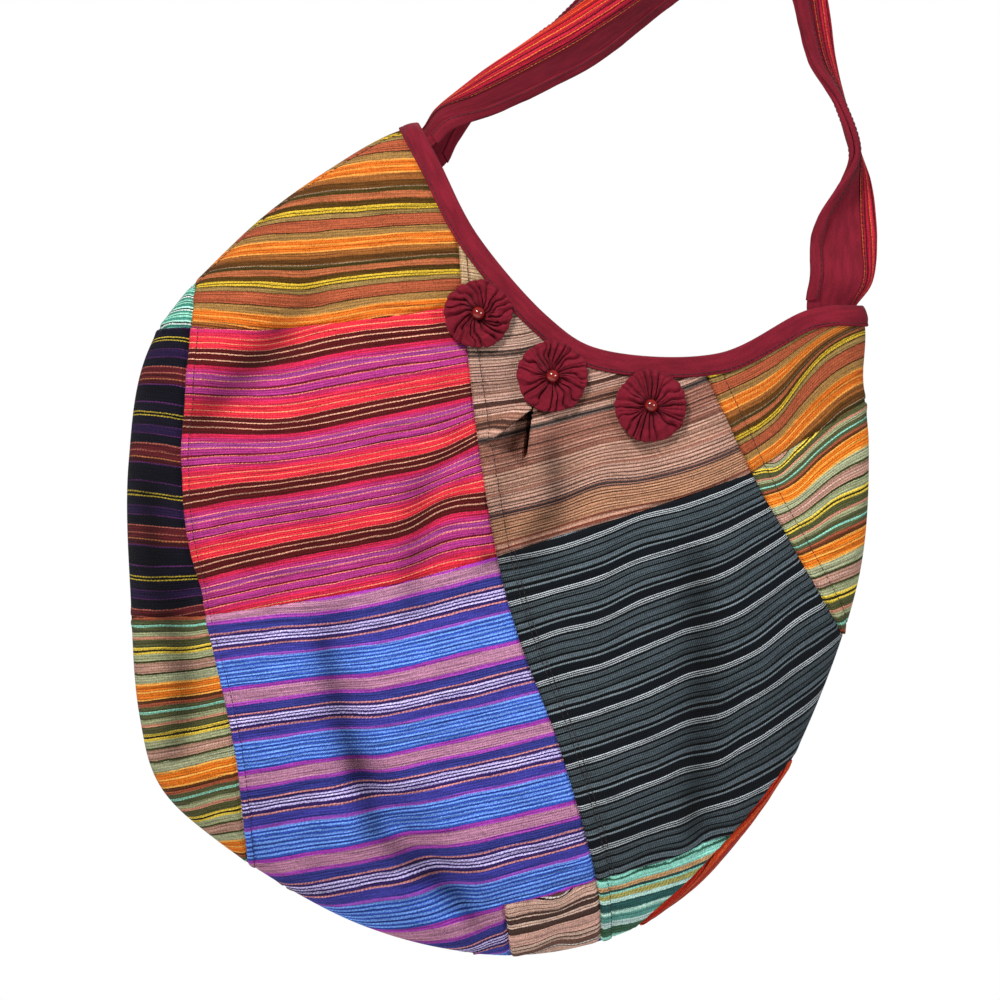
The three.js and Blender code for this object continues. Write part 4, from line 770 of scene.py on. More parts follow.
# where a mark of each cloth runs: repeat, mm into the chart, and places in mm right and down, as seen
guides = {
    "front_amber": [
        (-1, 1.28, ((-146.4, -48.3), (-180.1, -45.8))),
        (0, 1.28, ((-211.4, -1.9), (-187, -4.9), (-162.7, -6.5), (-146.4, -7.6), (-118.6, -8.2))),
        (1, 1.28, ((-258.4, 38.9), (-223.6, 37.1), (-190.5, 37.1), (-146.4, 31.7), (-106.4, 29.5)))],
    "front_magenta": [
        (0, 4.7, ((-261.3, 79.5), (-207.9, 78.8), (-172.5, 71.7), (-115.7, 64.6))),
        (1, 4.7, ((-261.3, 118.3), (-207.9, 120.1), (-148.8, 109), (-101.2, 99.5))),
        (2, 4.7, ((-261.3, 162.3), (-231.7, 157.5), (-207.9, 154.6), (-148.8, 144.4), (-113.4, 136.3),
                  (-97.7, 127.9))),
        (3, 4.7, ((-257.8, 203.6), (-207.9, 191.9), (-160.4, 183), (-136.9, 178.1), (-113.4, 165.9),
                  (-89.6, 162.3))),
        (4, 4.7, ((-257.8, 245), (-207.9, 234), (-160.4, 225), (-113.4, 213), (-85, 207)))],
    "front_blue": [
        (0, 2.07, ((-243.3, 244.2), (-213.7, 240.5), (-177.8, 237.5), (-153.4, 233.7), (-123.8, 227),
                   (-93.7, 219.5))),
        (1, 2.07, ((-235.8, 291.4), (-213.7, 288.3), (-183.6, 284.2), (-153.4, 283), (-108.7, 274.2),
                   (-63.5, 262.9))),
        (2, 2.07, ((-228.2, 340.1), (-183.6, 333.3), (-168.5, 332.6), (-123.8, 324.3), (-93.7, 318.4),
                   (-48.4, 307.9))),
        (3, 2.07, ((-198.6, 388.6), (-153.4, 381.1), (-108.7, 372.9), (-78.6, 367.7), (-36.8, 357.3))),
        (4, 2.07, ((-170, 436), (-130, 429), (-101.2, 424), (-86.1, 418.8), (-70, 414), (-36, 404)))],
    "front_charcoal": [
        (0, .2, ((-81.5, 196.3), (-46.7, 188.9), (-23.5, 181), (0, 171.4), (22.9, 165.7), (46.1, 157.4),
                 (57.7, 152.5))),
        (2, .2, ((-67, 244), (-46.7, 237), (-23.5, 231.2), (0, 220), (22.9, 212.5), (46.1, 204.7),
                 (69.3, 191.4), (86.7, 180.6))),
        (4, .2, ((-46.7, 290.4), (-23.5, 283.4), (0, 274.9), (22.9, 265.1), (46.1, 258.5),
                 (69.3, 246.1), (92.5, 229.5), (111, 218.3))),
        (6, .2, ((-38, 339.7), (-23.5, 335.8), (0, 327.3), (22.9, 319), (46.1, 314), (57.7, 305.7),
                 (69.3, 299.1), (86.7, 287.7))),
        (7, .2, ((-33.3, 365.8), (-11.9, 359.2), (11.3, 350.9), (34.5, 345.5), (57.7, 334.7),
                 (78, 324)))],
    "front_citrus_upper": [
        (0, 1.28, ((36.2, 90.9), (44.2, 88.7), (57.7, 83.5), (80.9, 71.9))),
        (1, 1.28, ((58.3, 125.2), (69.3, 118.9), (80.9, 108.3), (92.5, 92.8), (104.1, 79.3),
                   (115.7, 70.6), (127.9, 65.2))),
        (1, 19.4, ((66.4, 140.2), (80.9, 130.5), (96.4, 114.1), (111.8, 99.6), (130.2, 88.9)))],
    "front_citrus_lower": [
        (0, 33, ((69.3, 156), (80.9, 152.7), (92.5, 144), (102.2, 134.4), (111.8, 126.6), (130.2, 115))),
        (0, 22.4, ((75.1, 162.4), (88.4, 157.6), (104.1, 143.1), (121.5, 130.5), (131.2, 124.7))),
        (0, 1.65, ((86.7, 180.3), (98.3, 174), (111.6, 164.1), (130.2, 155.4))),
        (-1, 22.4, ((98.3, 196.2), (111.6, 191.4), (129, 182.7))),
        (-1, 1.65, ((113.8, 218), (124.4, 213.6)))],
    "front_navy": [
        (0, 1.1, ((-284.5, 72.1), (-278.7, 69.3), (-267.1, 69), (-262.4, 69.6))),
        (1, 1.1, ((-294.3, 112.3), (-278.7, 112.6), (-267.1, 114.4))),
        (2, 1.1, ((-297.8, 158.1), (-278.7, 159.6), (-267.1, 161.7))),
        (3, 1.1, ((-296.7, 206.5), (-278.7, 208.1), (-261.3, 207.1)))],
    "front_olive": [
        (0, 1.65, ((-294.3, 249.9), (-278.7, 249.4), (-263, 248.9), (-250.8, 247))),
        (1, 1.65, ((-288.8, 299.7), (-278.7, 299.2), (-255.5, 295.3), (-242.7, 292.4))),
        (2, 1.65, ((-262.4, 347), (-255.5, 347), (-243.9, 343.6), (-230.8, 341.2)))],
    "front_taupe": [
        (0, 43, ((-101.2, 77.7), (-78.6, 77.1), (-69.9, 76), (-46.7, 69.6), (-23.5, 63.8), (0, 56.8))),
        (0, 73.5, ((-96, 108.7), (-69.9, 105), (-46.7, 99.2), (-23.5, 94), (0, 87))),
        (0, 91.8, ((-96, 128.8), (-62.9, 120.1), (-46.7, 115.4), (-23.5, 109.6), (22.9, 98),
                   (41.5, 90.5))),
        (0, 131.5, ((-87.3, 172.1), (-69.9, 168.2), (-46.7, 161.8), (-23.5, 153.1), (0, 150.8),
                    (22.9, 145.4), (46.1, 137.1), (60.6, 130.5))),
        (0, 151, ((-83.2, 190.8), (-69.9, 186.8), (-46.7, 179.8), (-23.5, 172.8), (0, 167.3),
                  (22.9, 162.7), (46.1, 154.3), (62.3, 146.7)))],
    "front_cocoa": [
        (0, 10.1, ((-76.8, 407), (-64.1, 405), (-46.7, 401.2), (-35.1, 396.3), (-24.1, 392.9))),
        (0, 15.5, ((-76.3, 413.7), (-64.1, 411.8), (-46.7, 406.5), (-35.1, 403.1), (-24.1, 399.6)))],
    "front_mint": [
        (0, 3.9, ((-22.3, 382.2), (-11.9, 380.9), (0, 376.4), (11.3, 373.5), (22.9, 369.8),
                  (34.5, 365.9), (47.8, 360.6))),
        (0, 17.3, ((-22.3, 399.2), (-11.9, 397.3), (0, 394.4), (11.3, 390.9), (22.9, 387.1),
                   (33.3, 382.8)))],
    "front_teal": [(0, 0, ((-275.8, 61.5), (-258.4, 60.9)))],
    "front_red": [(0, 0, ((60, 320), (100, 270)))],
    "back_olive": [(0, 4, ((-200, 0), (0, 70)))], "back_magenta": [(0, 9, ((-200, 0), (0, 86)))],
    "back_charcoal": [(0, 0, ((-200, 0), (0, 90)))], "back_navy": [(0, 12, ((-200, 0), (0, 64)))],
    "back_amber": [(0, 6, ((-200, 0), (0, 84)))], "back_blue": [(0, 20, ((-200, 0), (0, 92)))],
}

# length of cloth from the middle out over the swell, against the flat reach
flatShare = np.linspace(0, 1, 600)
flatDepth, _ = crownedDepth(flatShare, (body["frontSwell"] + body["backSwell"]) / 2)
flatSlope = np.gradient(flatDepth, flatShare * body["meanReach"])
flatSteps = np.sqrt(1 + ((flatSlope[1:] + flatSlope[:-1]) / 2) ** 2)
flatReach = np.concatenate([[0], np.cumsum(flatSteps)]) / len(flatSteps)


def unrolled(place):     # places laid flat: moved out by the length of cloth over the swell
    arm = place - centre
    out = np.maximum(outwardness(place), 1e-6)
    return seen(centre + arm * (np.interp(out, flatShare, flatReach) / np.minimum(out, 1))[..., None])


def followLine(right, knots):     # a cubic through the knots, straight on past its ends
    knots = knots[np.argsort(knots[:, 0])]
    x, y = knots[:, 0], knots[:, 1]
    slopes = np.gradient(y, x) if len(x) > 2 else np.full(2, (y[1] - y[0]) / (x[1] - x[0]))
    index = np.clip(np.searchsorted(x, right) - 1, 0, len(x) - 2)
    gap = x[index + 1] - x[index]
    t = (right - x[index]) / gap
    inside = np.clip(t, 0, 1)
    line = hermite(y[index], y[index + 1], slopes[index] * gap, slopes[index + 1] * gap, inside)
    return line + (t - inside) * gap * np.where(t < 0, slopes[index], slopes[index + 1])


def weaveAt(name, cloth, place):     # mm along the stripes, and mm across in the cloth's own chart
    view, period = unrolled(place), chartLength[cloth]
    rows = guides[name]
    marks = [repeat * period + offset for repeat, offset, _ in rows]
    lines = np.stack([followLine(view[..., 0], unrolled(unseen(np.array(row[2], float)))) for row in rows])
    if len(rows) == 1:
        across = marks[0] + view[..., 1] - lines[0]
    else:
        shares = (view[..., 1] - lines[:-1]) / np.maximum(lines[1:] - lines[:-1], 3)
        held = np.clip(shares, 0, 1)
        held[0] += np.minimum(shares[0], 0)
        held[-1] += np.maximum(shares[-1] - 1, 0)
        across = marks[0] + np.tensordot(np.diff(marks), held, axes=1)
    return np.stack([view[..., 0], across], axis=-1)


patchGrid = {     # steps in mm, how many at least and most, share of even steps, and crowding by weights
    "back": 2.9, "front": 1.7, "pleated": 1.15, "steps": (26, 210), "even": 0.3,
    "endWeight": 3, "endReach": 0.05, "busyWeight": 2.4, "busyEdge": 0.03}


def spread(first, second, spacing, busy):
    # shares along two facing sides that crowd toward both ends and a busy stretch, and touch the corners
    longest = max(lengthAlong(first[0])[-1], lengthAlong(second[0])[-1])
    even = np.linspace(0, 1, int(np.clip(longest / spacing, *patchGrid["steps"])) + 1)
    shares = patchGrid["even"] * even + (1 - patchGrid["even"]) * (1 - np.cos(np.pi * even)) / 2
    if busy:
        fine, reach, edge = np.linspace(0, 1, 4001), patchGrid["endReach"], patchGrid["busyEdge"]
        weight = 1 + patchGrid["endWeight"] * (np.exp(-fine / reach) + np.exp((fine - 1) / reach))
        inside = between(fine, busy[0] - edge, busy[0] + edge, busy[1] - edge, busy[1] + edge)
        weight += patchGrid["busyWeight"] * inside
        shares = np.interp(even, (np.cumsum(weight) - weight[0]) / (weight.sum() - weight[0]), fine)
    for corner in first[1][1:-1] + second[1][1:-1]:
        shares[1 + np.argmin(np.abs(shares[1:-1] - corner))] = corner
    return shares


# how cloth lies beside a seam, in mm
seamLook = {
    "over": {"dip": 1.5, "dipWidth": 0.8, "rise": 0.9, "riseAt": 3.0, "riseWidth": 4.0, "pucker": 0.4},
    "under": {"dip": 1.5, "dipWidth": 1.8, "rise": 0.2, "riseAt": 5.0, "riseWidth": 4.0, "pucker": 0.6},
    "rowAbove": {"dip": 1.1, "dipWidth": 1.1, "rise": 0.45, "riseAt": 3.0, "riseWidth": 3.0, "pucker": 0.5},
    "rowBelow": {"dip": 1.1, "dipWidth": 0.9, "rise": 0.6, "riseAt": 2.6, "riseWidth": 2.8, "pucker": 0.8},
    "limb": {"dip": 0.5, "dipWidth": 0.9, "rise": 0.0, "riseAt": 3.0, "riseWidth": 3.0, "pucker": 0.0},
}
stitchRows = {     # mm in from the patch's left side
    "front_amber": (6,), "front_magenta": (6.5,), "front_blue": (6.5,), "front_taupe": (9,),
    "front_charcoal": (9, 12), "front_mint": (7,), "front_citrus_upper": (10,), "front_citrus_lower": (10,)}


def seamRole(line, side):     # at a column seam the right patch lies over
    if line is None or line == "rim":
        return None
    if line == "outline":
        return "limb"
    if line in columnSeams:
        return "over" if side == "left" else "under"
    return "rowBelow" if side == "top" else "rowAbove"


# puckers beside a seam: mm along and away, share; they die away over the reach
puckers = {"short": (3.4, 14, 1), "long": (7.5, 20, 0.6), "reach": 7, "seed": 20}
groove = {"depth": 0.8, "width": 0.8}     # pressed into the cloth by a row of stitches


def besideSeam(role, away, along, seed):     # a dip at the seam, a rise beside it, and puckers along it
    look = seamLook[role]
    height = look["rise"] * bump(away, look["riseAt"], look["riseWidth"])
    height -= look["dip"] * bump(away, 0, look["dipWidth"])
    for step, size in enumerate(("short", "long")):
        wide, far, share = puckers[size]
        pucker = share * valueNoise(along / wide, away / far, seed + step)
        height += look["pucker"] * pucker * np.exp(-away / puckers["reach"])
    return height


stitchPaths = []     # (points, normals) of every row of sewing


def pathInside(grid, normals, distance):     # the line a set distance in from a grid's left side
    length = lengthAlong(grid, 1)
    index = np.clip((length < distance).sum(axis=1) - 1, 0, grid.shape[1] - 2)
    rows = np.arange(len(grid))
    before, after = length[rows, index], length[rows, index + 1]
    share = ((distance - before) / np.maximum(after - before, 1e-6))[:, None]
    fits = length[:, -1] > distance + 1.5
    point = grid[rows, index] * (1 - share) + grid[rows, index + 1] * share
    return point[fits], normals[rows, index][fits]


def blendSides(sides, u, v):     # each place blends the four sides, less the corners counted twice
    topLine, bottomLine = (alongLine(sides[side][0], u)[None] for side in ("top", "bottom"))
    leftLine, rightLine = (alongLine(sides[side][0], v)[:, None] for side in ("left", "right"))
    right, low = u[None, :, None], v[:, None, None]
    corners = ((1 - low) * ((1 - right) * topLine[:, :1] + right * topLine[:, -1:])
               + low * ((1 - right) * bottomLine[:, :1] + right * bottomLine[:, -1:]))
    return (1 - low) * topLine + low * bottomLine + (1 - right) * leftLine + right * rightLine - corners


def sewPatch(name):     # the body's surface over the patch, raised and pressed in by its folds and seams
    cloth, *texts = patches[name]
    facing = -1 if name.startswith("front") else 1
    pleated = cloth == "taupe"
    sides = {side: readSide(text) for side, text in zip(("top", "right", "bottom", "left"), texts)}
    spacing = patchGrid["back" if facing > 0 else "pleated" if pleated else "front"]
    u = spread(sides["top"], sides["bottom"], spacing, pleated and tuck["busyAcross"])
    v = spread(sides["left"], sides["right"], spacing, pleated and tuck["busyDown"])
    place = blendSides(sides, u, v)
    base, normal, out = panelSurface(facing, place + tuckShift(place) * pleated)
    height = bodyHeight(facing, place, out)
    fromLeft, fromTop = lengthAlong(base, 1), lengthAlong(base, 0)
    away = {"top": fromTop, "right": fromLeft[:, -1:] - fromLeft, "bottom": fromTop[-1:] - fromTop,
            "left": fromLeft}
    for number, (side, (_, stops, lines)) in enumerate(sides.items()):
        shares, along = (u[None], fromLeft) if side in ("top", "bottom") else (v[:, None], fromTop)
        for start, end, line in zip(stops[:-1], stops[1:], lines):
            role = seamRole(line, side)
            if role:
                here = (shares >= start - 1e-9) & (shares <= end + 1e-9)
                height += here * besideSeam(role, away[side], along, puckers["seed"] + number)
    rows = stitchRows.get(name, ())
    for distance in rows:
        height -= groove["depth"] * bump(fromLeft, distance, groove["width"])
    outer = base + normal * height[..., None] + (0, facing * body["halfGap"], 0)
    stitchPaths.extend(pathInside(outer, normal, distance) for distance in rows)
    # painted shade along the front's folds; the back has none
    paintedShade = paintedShadeAt(place) if facing < 0 else np.zeros(place.shape[:2])
    piece = addShell("visual_" + name, outer, outer - normal * body["clothWall"], cloths[cloth],
                     weaveAt(name, cloth, place), paintedShade=paintedShade)
    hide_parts("patch_" + name)
    "cloth_" + slotOf.get(name, cloth)
    wide, tall = float(fromLeft[:, -1].max()) * mm, float(fromTop[-1].max()) * mm
    min(halfSurface(piece), wide * tall)


for name in patches:
    sewPatch(name)
print("patches sewn:", len(patches))

# binding of the mouth
binding = {
    # places round the fold: mm below the rim, mm above the cloth
    "section": [(10.3, 0.3), (10.2, 1.3), (8.8, 1.75), (5, 2.0), (1.5, 2.0), (-0.9, 1.6), (-1.7, 0.2),
                (-1.7, -2.0),
                (-0.9, -3.3), (1.5, -3.7), (8.6, -3.6), (10.0, -3.2), (10.0, -2.7), (5, -2.7),
                (0, -2.6), (-0.6, -1),
                (-0.5, 0.4), (5, 0.5), (9.6, 0.2)],
    "sides": 44, "rounds": 261, "tipBlend": 0.1, "stitchAt": 8.6, "stitchLift": 1.62,
    "groove": 0.3, "grooveWidth": 0.7, "ripple": 0.28, "rippleSink": 0.4, "outside": (0.6, 1.4),
    # slanting creases: share, slant, mm along and across
    "creases": ((1.0, 1.1, 6.5, 9), (0.7, -0.6, 14, 12)), "creaseSeeds": (31, 33)}


def belowRim(share, distance):     # square to the rim, but along the outline at its two tips
    share, distance = np.broadcast_arrays(np.asarray(share, float), np.asarray(distance, float))
    point = rimAt(share)
    tangent = unit(rimAt(np.minimum(share + 1e-4, 1)) - rimAt(np.maximum(share - 1e-4, 0)))
    square = np.stack([-tangent[..., 1], tangent[..., 0]], axis=-1) * distance[..., None]
    atLeft = share < 0.5
    tip = np.where(atLeft[..., None], rimPoints[0], rimPoints[-1])
    bearing = bearingOf(tip)
    slide = outlineAt(bearing + np.where(atLeft, -1, 1) * distance / reachAt(bearing)) - tip
    blend = smoothstep(np.minimum(share, 1 - share), 0, binding["tipBlend"])[..., None]
    return point + slide * (1 - blend) + square * blend


def mouthPoint(facing, share, distance, height):     # a place below the rim, mm above the folded cloth
    share, distance, height = np.broadcast_arrays(share, distance, height)
    place = belowRim(share, distance)
    point, normal, _ = panelSurface(facing, place)
    tip = (np.minimum(share, 1 - share) < 1e-9)[..., None] & np.array([False, True, False])
    point, normal = np.where(tip, 0, point), np.where(tip, 0, normal)
    return point + normal * (height + foldHeight(facing, place))[..., None], normal


def ringOf(look):     # a closed curve through a strip's section
    return centripetal(look["section"], np.linspace(0, 1, look["sides"], endpoint=False), closed=True)


def bindMouth():     # the section carried along the front rim and back behind it, with slanting creases
    section = ringOf(binding)
    distance, level = section[None, :, 0], section[None, :, 1]
    outside = smoothstep(level, *binding["outside"])
    shares = (1 - np.cos(np.linspace(0, np.pi, binding["rounds"]))) / 2
    rimLength = lengthAlong(rimAt(shares))
    rounds = []
    for facing, row in ((-1, slice(None, -1)), (1, slice(None, 0, -1))):
        share, run = shares[row][:, None], rimLength[row][:, None]
        seeds = np.add(binding["creaseSeeds"], (facing, 0))
        crease = sum(part * valueNoise((run + slant * distance) / long, distance / wide, seed)
                     for seed, (part, slant, long, wide) in zip(seeds, binding["creases"]))
        height = level + outside * binding["ripple"] * (crease - binding["rippleSink"])
        pressed = bump(distance, binding["stitchAt"], binding["grooveWidth"])
        height = height - outside * binding["groove"] * pressed
        rounds.append(mouthPoint(facing, share, distance, height)[0])
        stitchPaths.append(mouthPoint(facing, shares[5:-5], binding["stitchAt"], binding["stitchLift"]))
    grid = np.concatenate(rounds)
    quarter = grid[len(grid) // 4]
    around = lengthAlong(quarter)
    run = lengthAlong(grid[:, 3])
    faces = shellFaces(*grid.shape[:2], True, True, thick=False)
    piece = addPiece("visual_mouth_binding", grid.reshape(-1, 3), faces, maroonCloth,
                     pairs(run[:, None], around[None]))
    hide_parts("mouth_binding")
    area = halfSurface(piece)


bindMouth()
print("mouth bound")

# strap, its band and its bound edges
strap = {
    "halfWidth": 37.0, "bandHalf": 10.5, "edgeWidth": 6.0, "wall": 1.8, "rootDepth": 5.1, "rootReach": 0.18,
    "rootDrops": (9, -2.4), "leftRoot": (14, 27, 1), "rightRoot": (31, 29, 4),
    "columns": 149, "rows": 421, "freeAfter": 1.25, "rootSteps": 41, "foldSteps": 48,
    # gathers near the roots, then waves: mm high, across and along, seed
    "gatherReach": 60, "gathers": (0.3, 5.5, 60, 41), "waves": ((0.3, 14, 34, 42), (0.1, 6, 8, 43)),
    # x, drop, y of the fold; roll and fold in degrees; half widths before and behind; bend; band before it
    "sections": [
        (-132.5, -14.5, 0, 10, 150, 15.5, 26, 12, 2.5), (-119.5, -36, -5, 38, 156, 22, 27, 13, 7),
        (-98, -66, -10, 52, 144, 28, 28.5, 15, 10), (-79, -91.5, -12, 66, 128, 31, 28.5, 16, 11),
        (-52, -132.5, -10, 78, 110, 27.5, 28.5, 17, 11), (-29, -179, -5, 46, 94, 29.5, 28.5, 17, 10.5),
        (-17, -208, -1, 10, 75, 28.5, 28.5, 17, 10.5), (0, -221, 0, 0, 65, 28.5, 28.5, 17, 10.5),
        (19, -209, 2, -8, 85, 27, 27, 14, 10.5), (33, -186, 5, -16, 130, 22, 22, 9, 10.5),
        (51, -158, 7, -22, 170, 18.5, 18, 4.2, 10.5), (67.5, -129, 9, -44, 177, 17.5, 16.5, 3.2, 10.5),
        (83, -106, 10, -86, 178, 17, 16, 2.4, 10.5), (101.5, -83, 11, -86, 178, 20, 19, 2.6, 10.5),
        (113, -71, 10, -48, 178, 29.5, 23, 3.4, 11), (123, -55, 6, -23, 176, 36.8, 28, 4.6, 11),
        (131, -38, 3, -10, 170, 40, 31, 7, 10.5), (136.5, -17, 0, -4, 156, 38.5, 30, 10, 8)],}


def acrossFold(across, before, behind, bandBefore):     # mm from the fold; only the plain border gives way
    half, band = np.where(across < 0, before, behind), np.where(across < 0, bandBefore, strap["bandHalf"])
    size, bandHalf, edge = np.abs(across), strap["bandHalf"], strap["halfWidth"] - strap["edgeWidth"]
    border = band + (size - bandHalf) * (half - strap["edgeWidth"] - band) / (edge - bandHalf)
    return np.where(size <= bandHalf, size * band / bandHalf,
                    np.where(size <= edge, border, half - strap["edgeWidth"] + size - edge))


def rootRow(tipShare, distance, widths, across):     # lies against the inside of the binding
    away = strap["rootReach"] * (np.linspace(0, 1, strap["rootSteps"]) ** 2)
    row = np.empty((len(across), 3))
    for facing, mine in ((-1, across < 0), (1, across >= 0)):
        arm = mouthPoint(facing, np.abs(tipShare - away), distance, -strap["rootDepth"])[0]
        row[mine] = atLengths(acrossFold(across[mine], *widths), lengthAlong(arm), arm)
    return row


def sectionRow(place, along, look, across):     # a strip folded lengthwise round the fold's line
    _, _, _, roll, fold, before, behind, bend, bandBefore = look
    roll, fold = math.radians(roll), math.radians(fold)
    outward, forward = np.array([-along[2], 0, along[0]]), np.array([0, -1.0, 0])
    normal = outward * math.cos(roll) + forward * math.sin(roll)
    side = outward * math.sin(roll) - forward * math.cos(roll)
    reach = acrossFold(across, before, behind, bandBefore)
    steps = (np.arange(strap["foldSteps"]) + 0.5) / strap["foldSteps"] * reach[:, None]
    turn = fold / 2 * np.sin(np.pi / 2 * np.minimum(steps / bend, 1))
    flat, deep = (np.cos(turn).mean(axis=1) * reach), (np.sin(turn).mean(axis=1) * reach)
    return place + (np.sign(across) * flat)[:, None] * side - deep[:, None] * normal


def strapRows(across):     # two rows at each root and one for each section, in order
    looks = np.array(strap["sections"], float)
    places = np.stack([looks[:, 0], looks[:, 2], body["mouthLine"] - looks[:, 1]], axis=-1)
    shares = np.linspace(0, 1, len(looks))
    ahead, behind = (centripetal(places, np.clip(shares + step, 0, 1)) for step in (1e-4, -1e-4))
    along = unit((ahead - behind) * (1, 0, 1))
    rows = [rootRow(0.0, drop, strap["leftRoot"], across) for drop in strap["rootDrops"]]
    rows += [sectionRow(*row, across) for row in zip(places, along, strap["sections"])]
    rows += [rootRow(1.0, drop, strap["rightRoot"], across) for drop in strap["rootDrops"][::-1]]
    return np.stack(rows)


halfWidth, bandHalf, lastColumn = strap["halfWidth"], strap["bandHalf"], strap["columns"] - 1
strapAcross = np.linspace(-halfWidth, halfWidth, strap["columns"])
strapShares = np.linspace(0, 1, strap["rows"])
mainRows = strapRows(strapAcross)
strapMiddle = centripetal(mainRows, strapShares)
strapNormal = unit(np.cross(np.gradient(strapMiddle, axis=0), np.gradient(strapMiddle, axis=1)))
strapRun = lengthAlong(strapMiddle[:, lastColumn // 2])
freeStart = strap["freeAfter"] / (len(mainRows) - 1)
freeEnd = 1 - freeStart


def crumple(run, side):     # gathers that die away up the strap from each root, and soft waves along it
    root = bump(run, 0, strap["gatherReach"]) + bump(run, strapRun[-1], strap["gatherReach"])
    wave = lambda high, wide, long, seed: high * valueNoise(side / wide, run / long, seed)
    return root * wave(*strap["gathers"]) + sum(wave(*row) for row in strap["waves"])


strapLift = crumple(strapRun[:, None], strapAcross[None])
strapLift = strapLift * (1 - (np.abs(strapAcross[None]) / halfWidth) ** 6)
strapMiddle = strapMiddle + strapNormal * strapLift[..., None]


def onStrap(rows, sides, heights):     # points by row of the grid, mm across and mm above the middle layer
    inside = np.clip(sides, -halfWidth, halfWidth)
    spot = (inside + halfWidth) * lastColumn / (2 * halfWidth)
    left = np.clip(np.floor(spot).astype(int), 0, lastColumn - 1)
    share = (spot - left)[..., None]
    grid, lift = strapMiddle[rows], strapNormal[rows]
    left = np.broadcast_to(left, (len(rows), left.shape[-1]))[..., None]
    take = lambda values, index: np.take_along_axis(values, index, axis=1)
    point = take(grid, left) * (1 - share) + take(grid, left + 1) * share
    normal = unit(take(lift, left) * (1 - share) + take(lift, left + 1) * share)
    outward = unit(take(grid, left + 1) - take(grid, left))
    return point + outward * (sides - inside)[..., None] + normal * heights[..., None], normal


def stitchStrap(rows, side, lift):     # a row of stitches along the strap
    line, normal = onStrap(rows, np.array([[side]]), np.array([[lift]]))
    stitchPaths.append((line[:, 0], normal[:, 0]))


def sewStrap():     # the middle layer thickened to both sides
    half = strapNormal[::2] * strap["wall"] / 2
    piece = addShell("visual_strap", strapMiddle[::2] + half, strapMiddle[::2] - half, maroonCloth,
                     pairs(strapRun[::2, None], strapAcross[None]))
    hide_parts("strap")
    wide, long = 2 * halfWidth * mm, float(strapRun[-1]) * mm
    min(halfSurface(piece), wide * long)


band = {     # heights in mm above the strap's middle layer
    "columns": 49, "pastEnds": 0.02, "under": 1.0, "over": 1.15, "puff": 0.75,
    "stitchAt": 9.2, "stitchLift": 1.72, "groove": 0.25, "grooveWidth": 0.6}


def sewBand():     # a strip that swells between its two rows of stitches
    past = band["pastEnds"]
    rows = np.flatnonzero((strapShares >= freeStart - past) & (strapShares <= freeEnd + past))[::2]
    sides = np.linspace(-bandHalf, bandHalf, band["columns"])[None]
    puff = np.sqrt(np.maximum(1 - (np.abs(sides) / bandHalf) ** 10, 0))
    seam = band["groove"] * bump(np.abs(sides), band["stitchAt"], band["grooveWidth"])
    outer, _ = onStrap(rows, sides, band["over"] + band["puff"] * puff - seam)
    inner, _ = onStrap(rows, sides, np.full_like(sides, band["under"]))
    piece = addShell("visual_strap_band", outer, inner, cloths["band"],
                     pairs(strapRun[rows][:, None], bandHalf - sides))
    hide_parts("strap_band")
    area, long = halfSurface(piece), float(strapRun[rows[-1]] - strapRun[rows[0]]) * mm
    for hand in (-1, 1):
        stitchStrap(rows, hand * band["stitchAt"], band["stitchLift"])


strapEdge = {     # mm across and mm above the middle layer, round the folded strip
    "section": [(30.8, 1.2), (31.0, 2.0), (33, 2.1), (36, 2.0), (37.7, 1.4), (38.2, 0.2), (37.7, -1.0),
                (36, -1.5),
                (33, -1.5), (31.0, -1.4), (30.8, -1.15), (34, -1.1), (37.2, -0.8), (37.3, 0),
                (37.2, 0.9), (34, 1.1)],
    "sides": 32, "ripple": 0.2, "stitchAt": 32.0, "stitchLift": 2.2, "measuredRow": 40}


def bindStrapEdge(name, hand):     # the section carried along the strap's free part, with small ripples
    rows = np.flatnonzero((strapShares >= freeStart) & (strapShares <= freeEnd))
    section = ringOf(strapEdge)
    sides, levels = section[None, :, 0], section[None, :, 1]
    grid, _ = onStrap(rows, hand * sides, levels)
    run = strapRun[rows][:, None]
    ripple = strapEdge["ripple"] * valueNoise((run + sides) / 6, levels / 3, 51 + hand)
    middle = grid.mean(axis=1, keepdims=True)
    grid = grid + unit(grid - middle) * ripple[..., None]
    ends = np.broadcast_to(middle[[0, -1]], (2, grid.shape[1], 3))
    grid = np.concatenate([ends[:1], grid, ends[1:]])     # each end closes on its middle
    run = np.concatenate([run[:1], run, run[-1:]])
    around = lengthAlong(grid[strapEdge["measuredRow"]])
    faces = shellFaces(*grid.shape[:2], False, True, thick=False)
    piece = addPiece("visual_" + name, grid.reshape(-1, 3), faces, maroonCloth, pairs(run, around[None]))
    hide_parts(name)
    area, long = halfSurface(piece), float(run[-1, 0] - run[0, 0]) * mm
    stitchStrap(rows, hand * strapEdge["stitchAt"], strapEdge["stitchLift"])


sewStrap()
sewBand()
bindStrapEdge("strap_edge_front", -1)
bindStrapEdge("strap_edge_back", 1)
print("strap sewn")

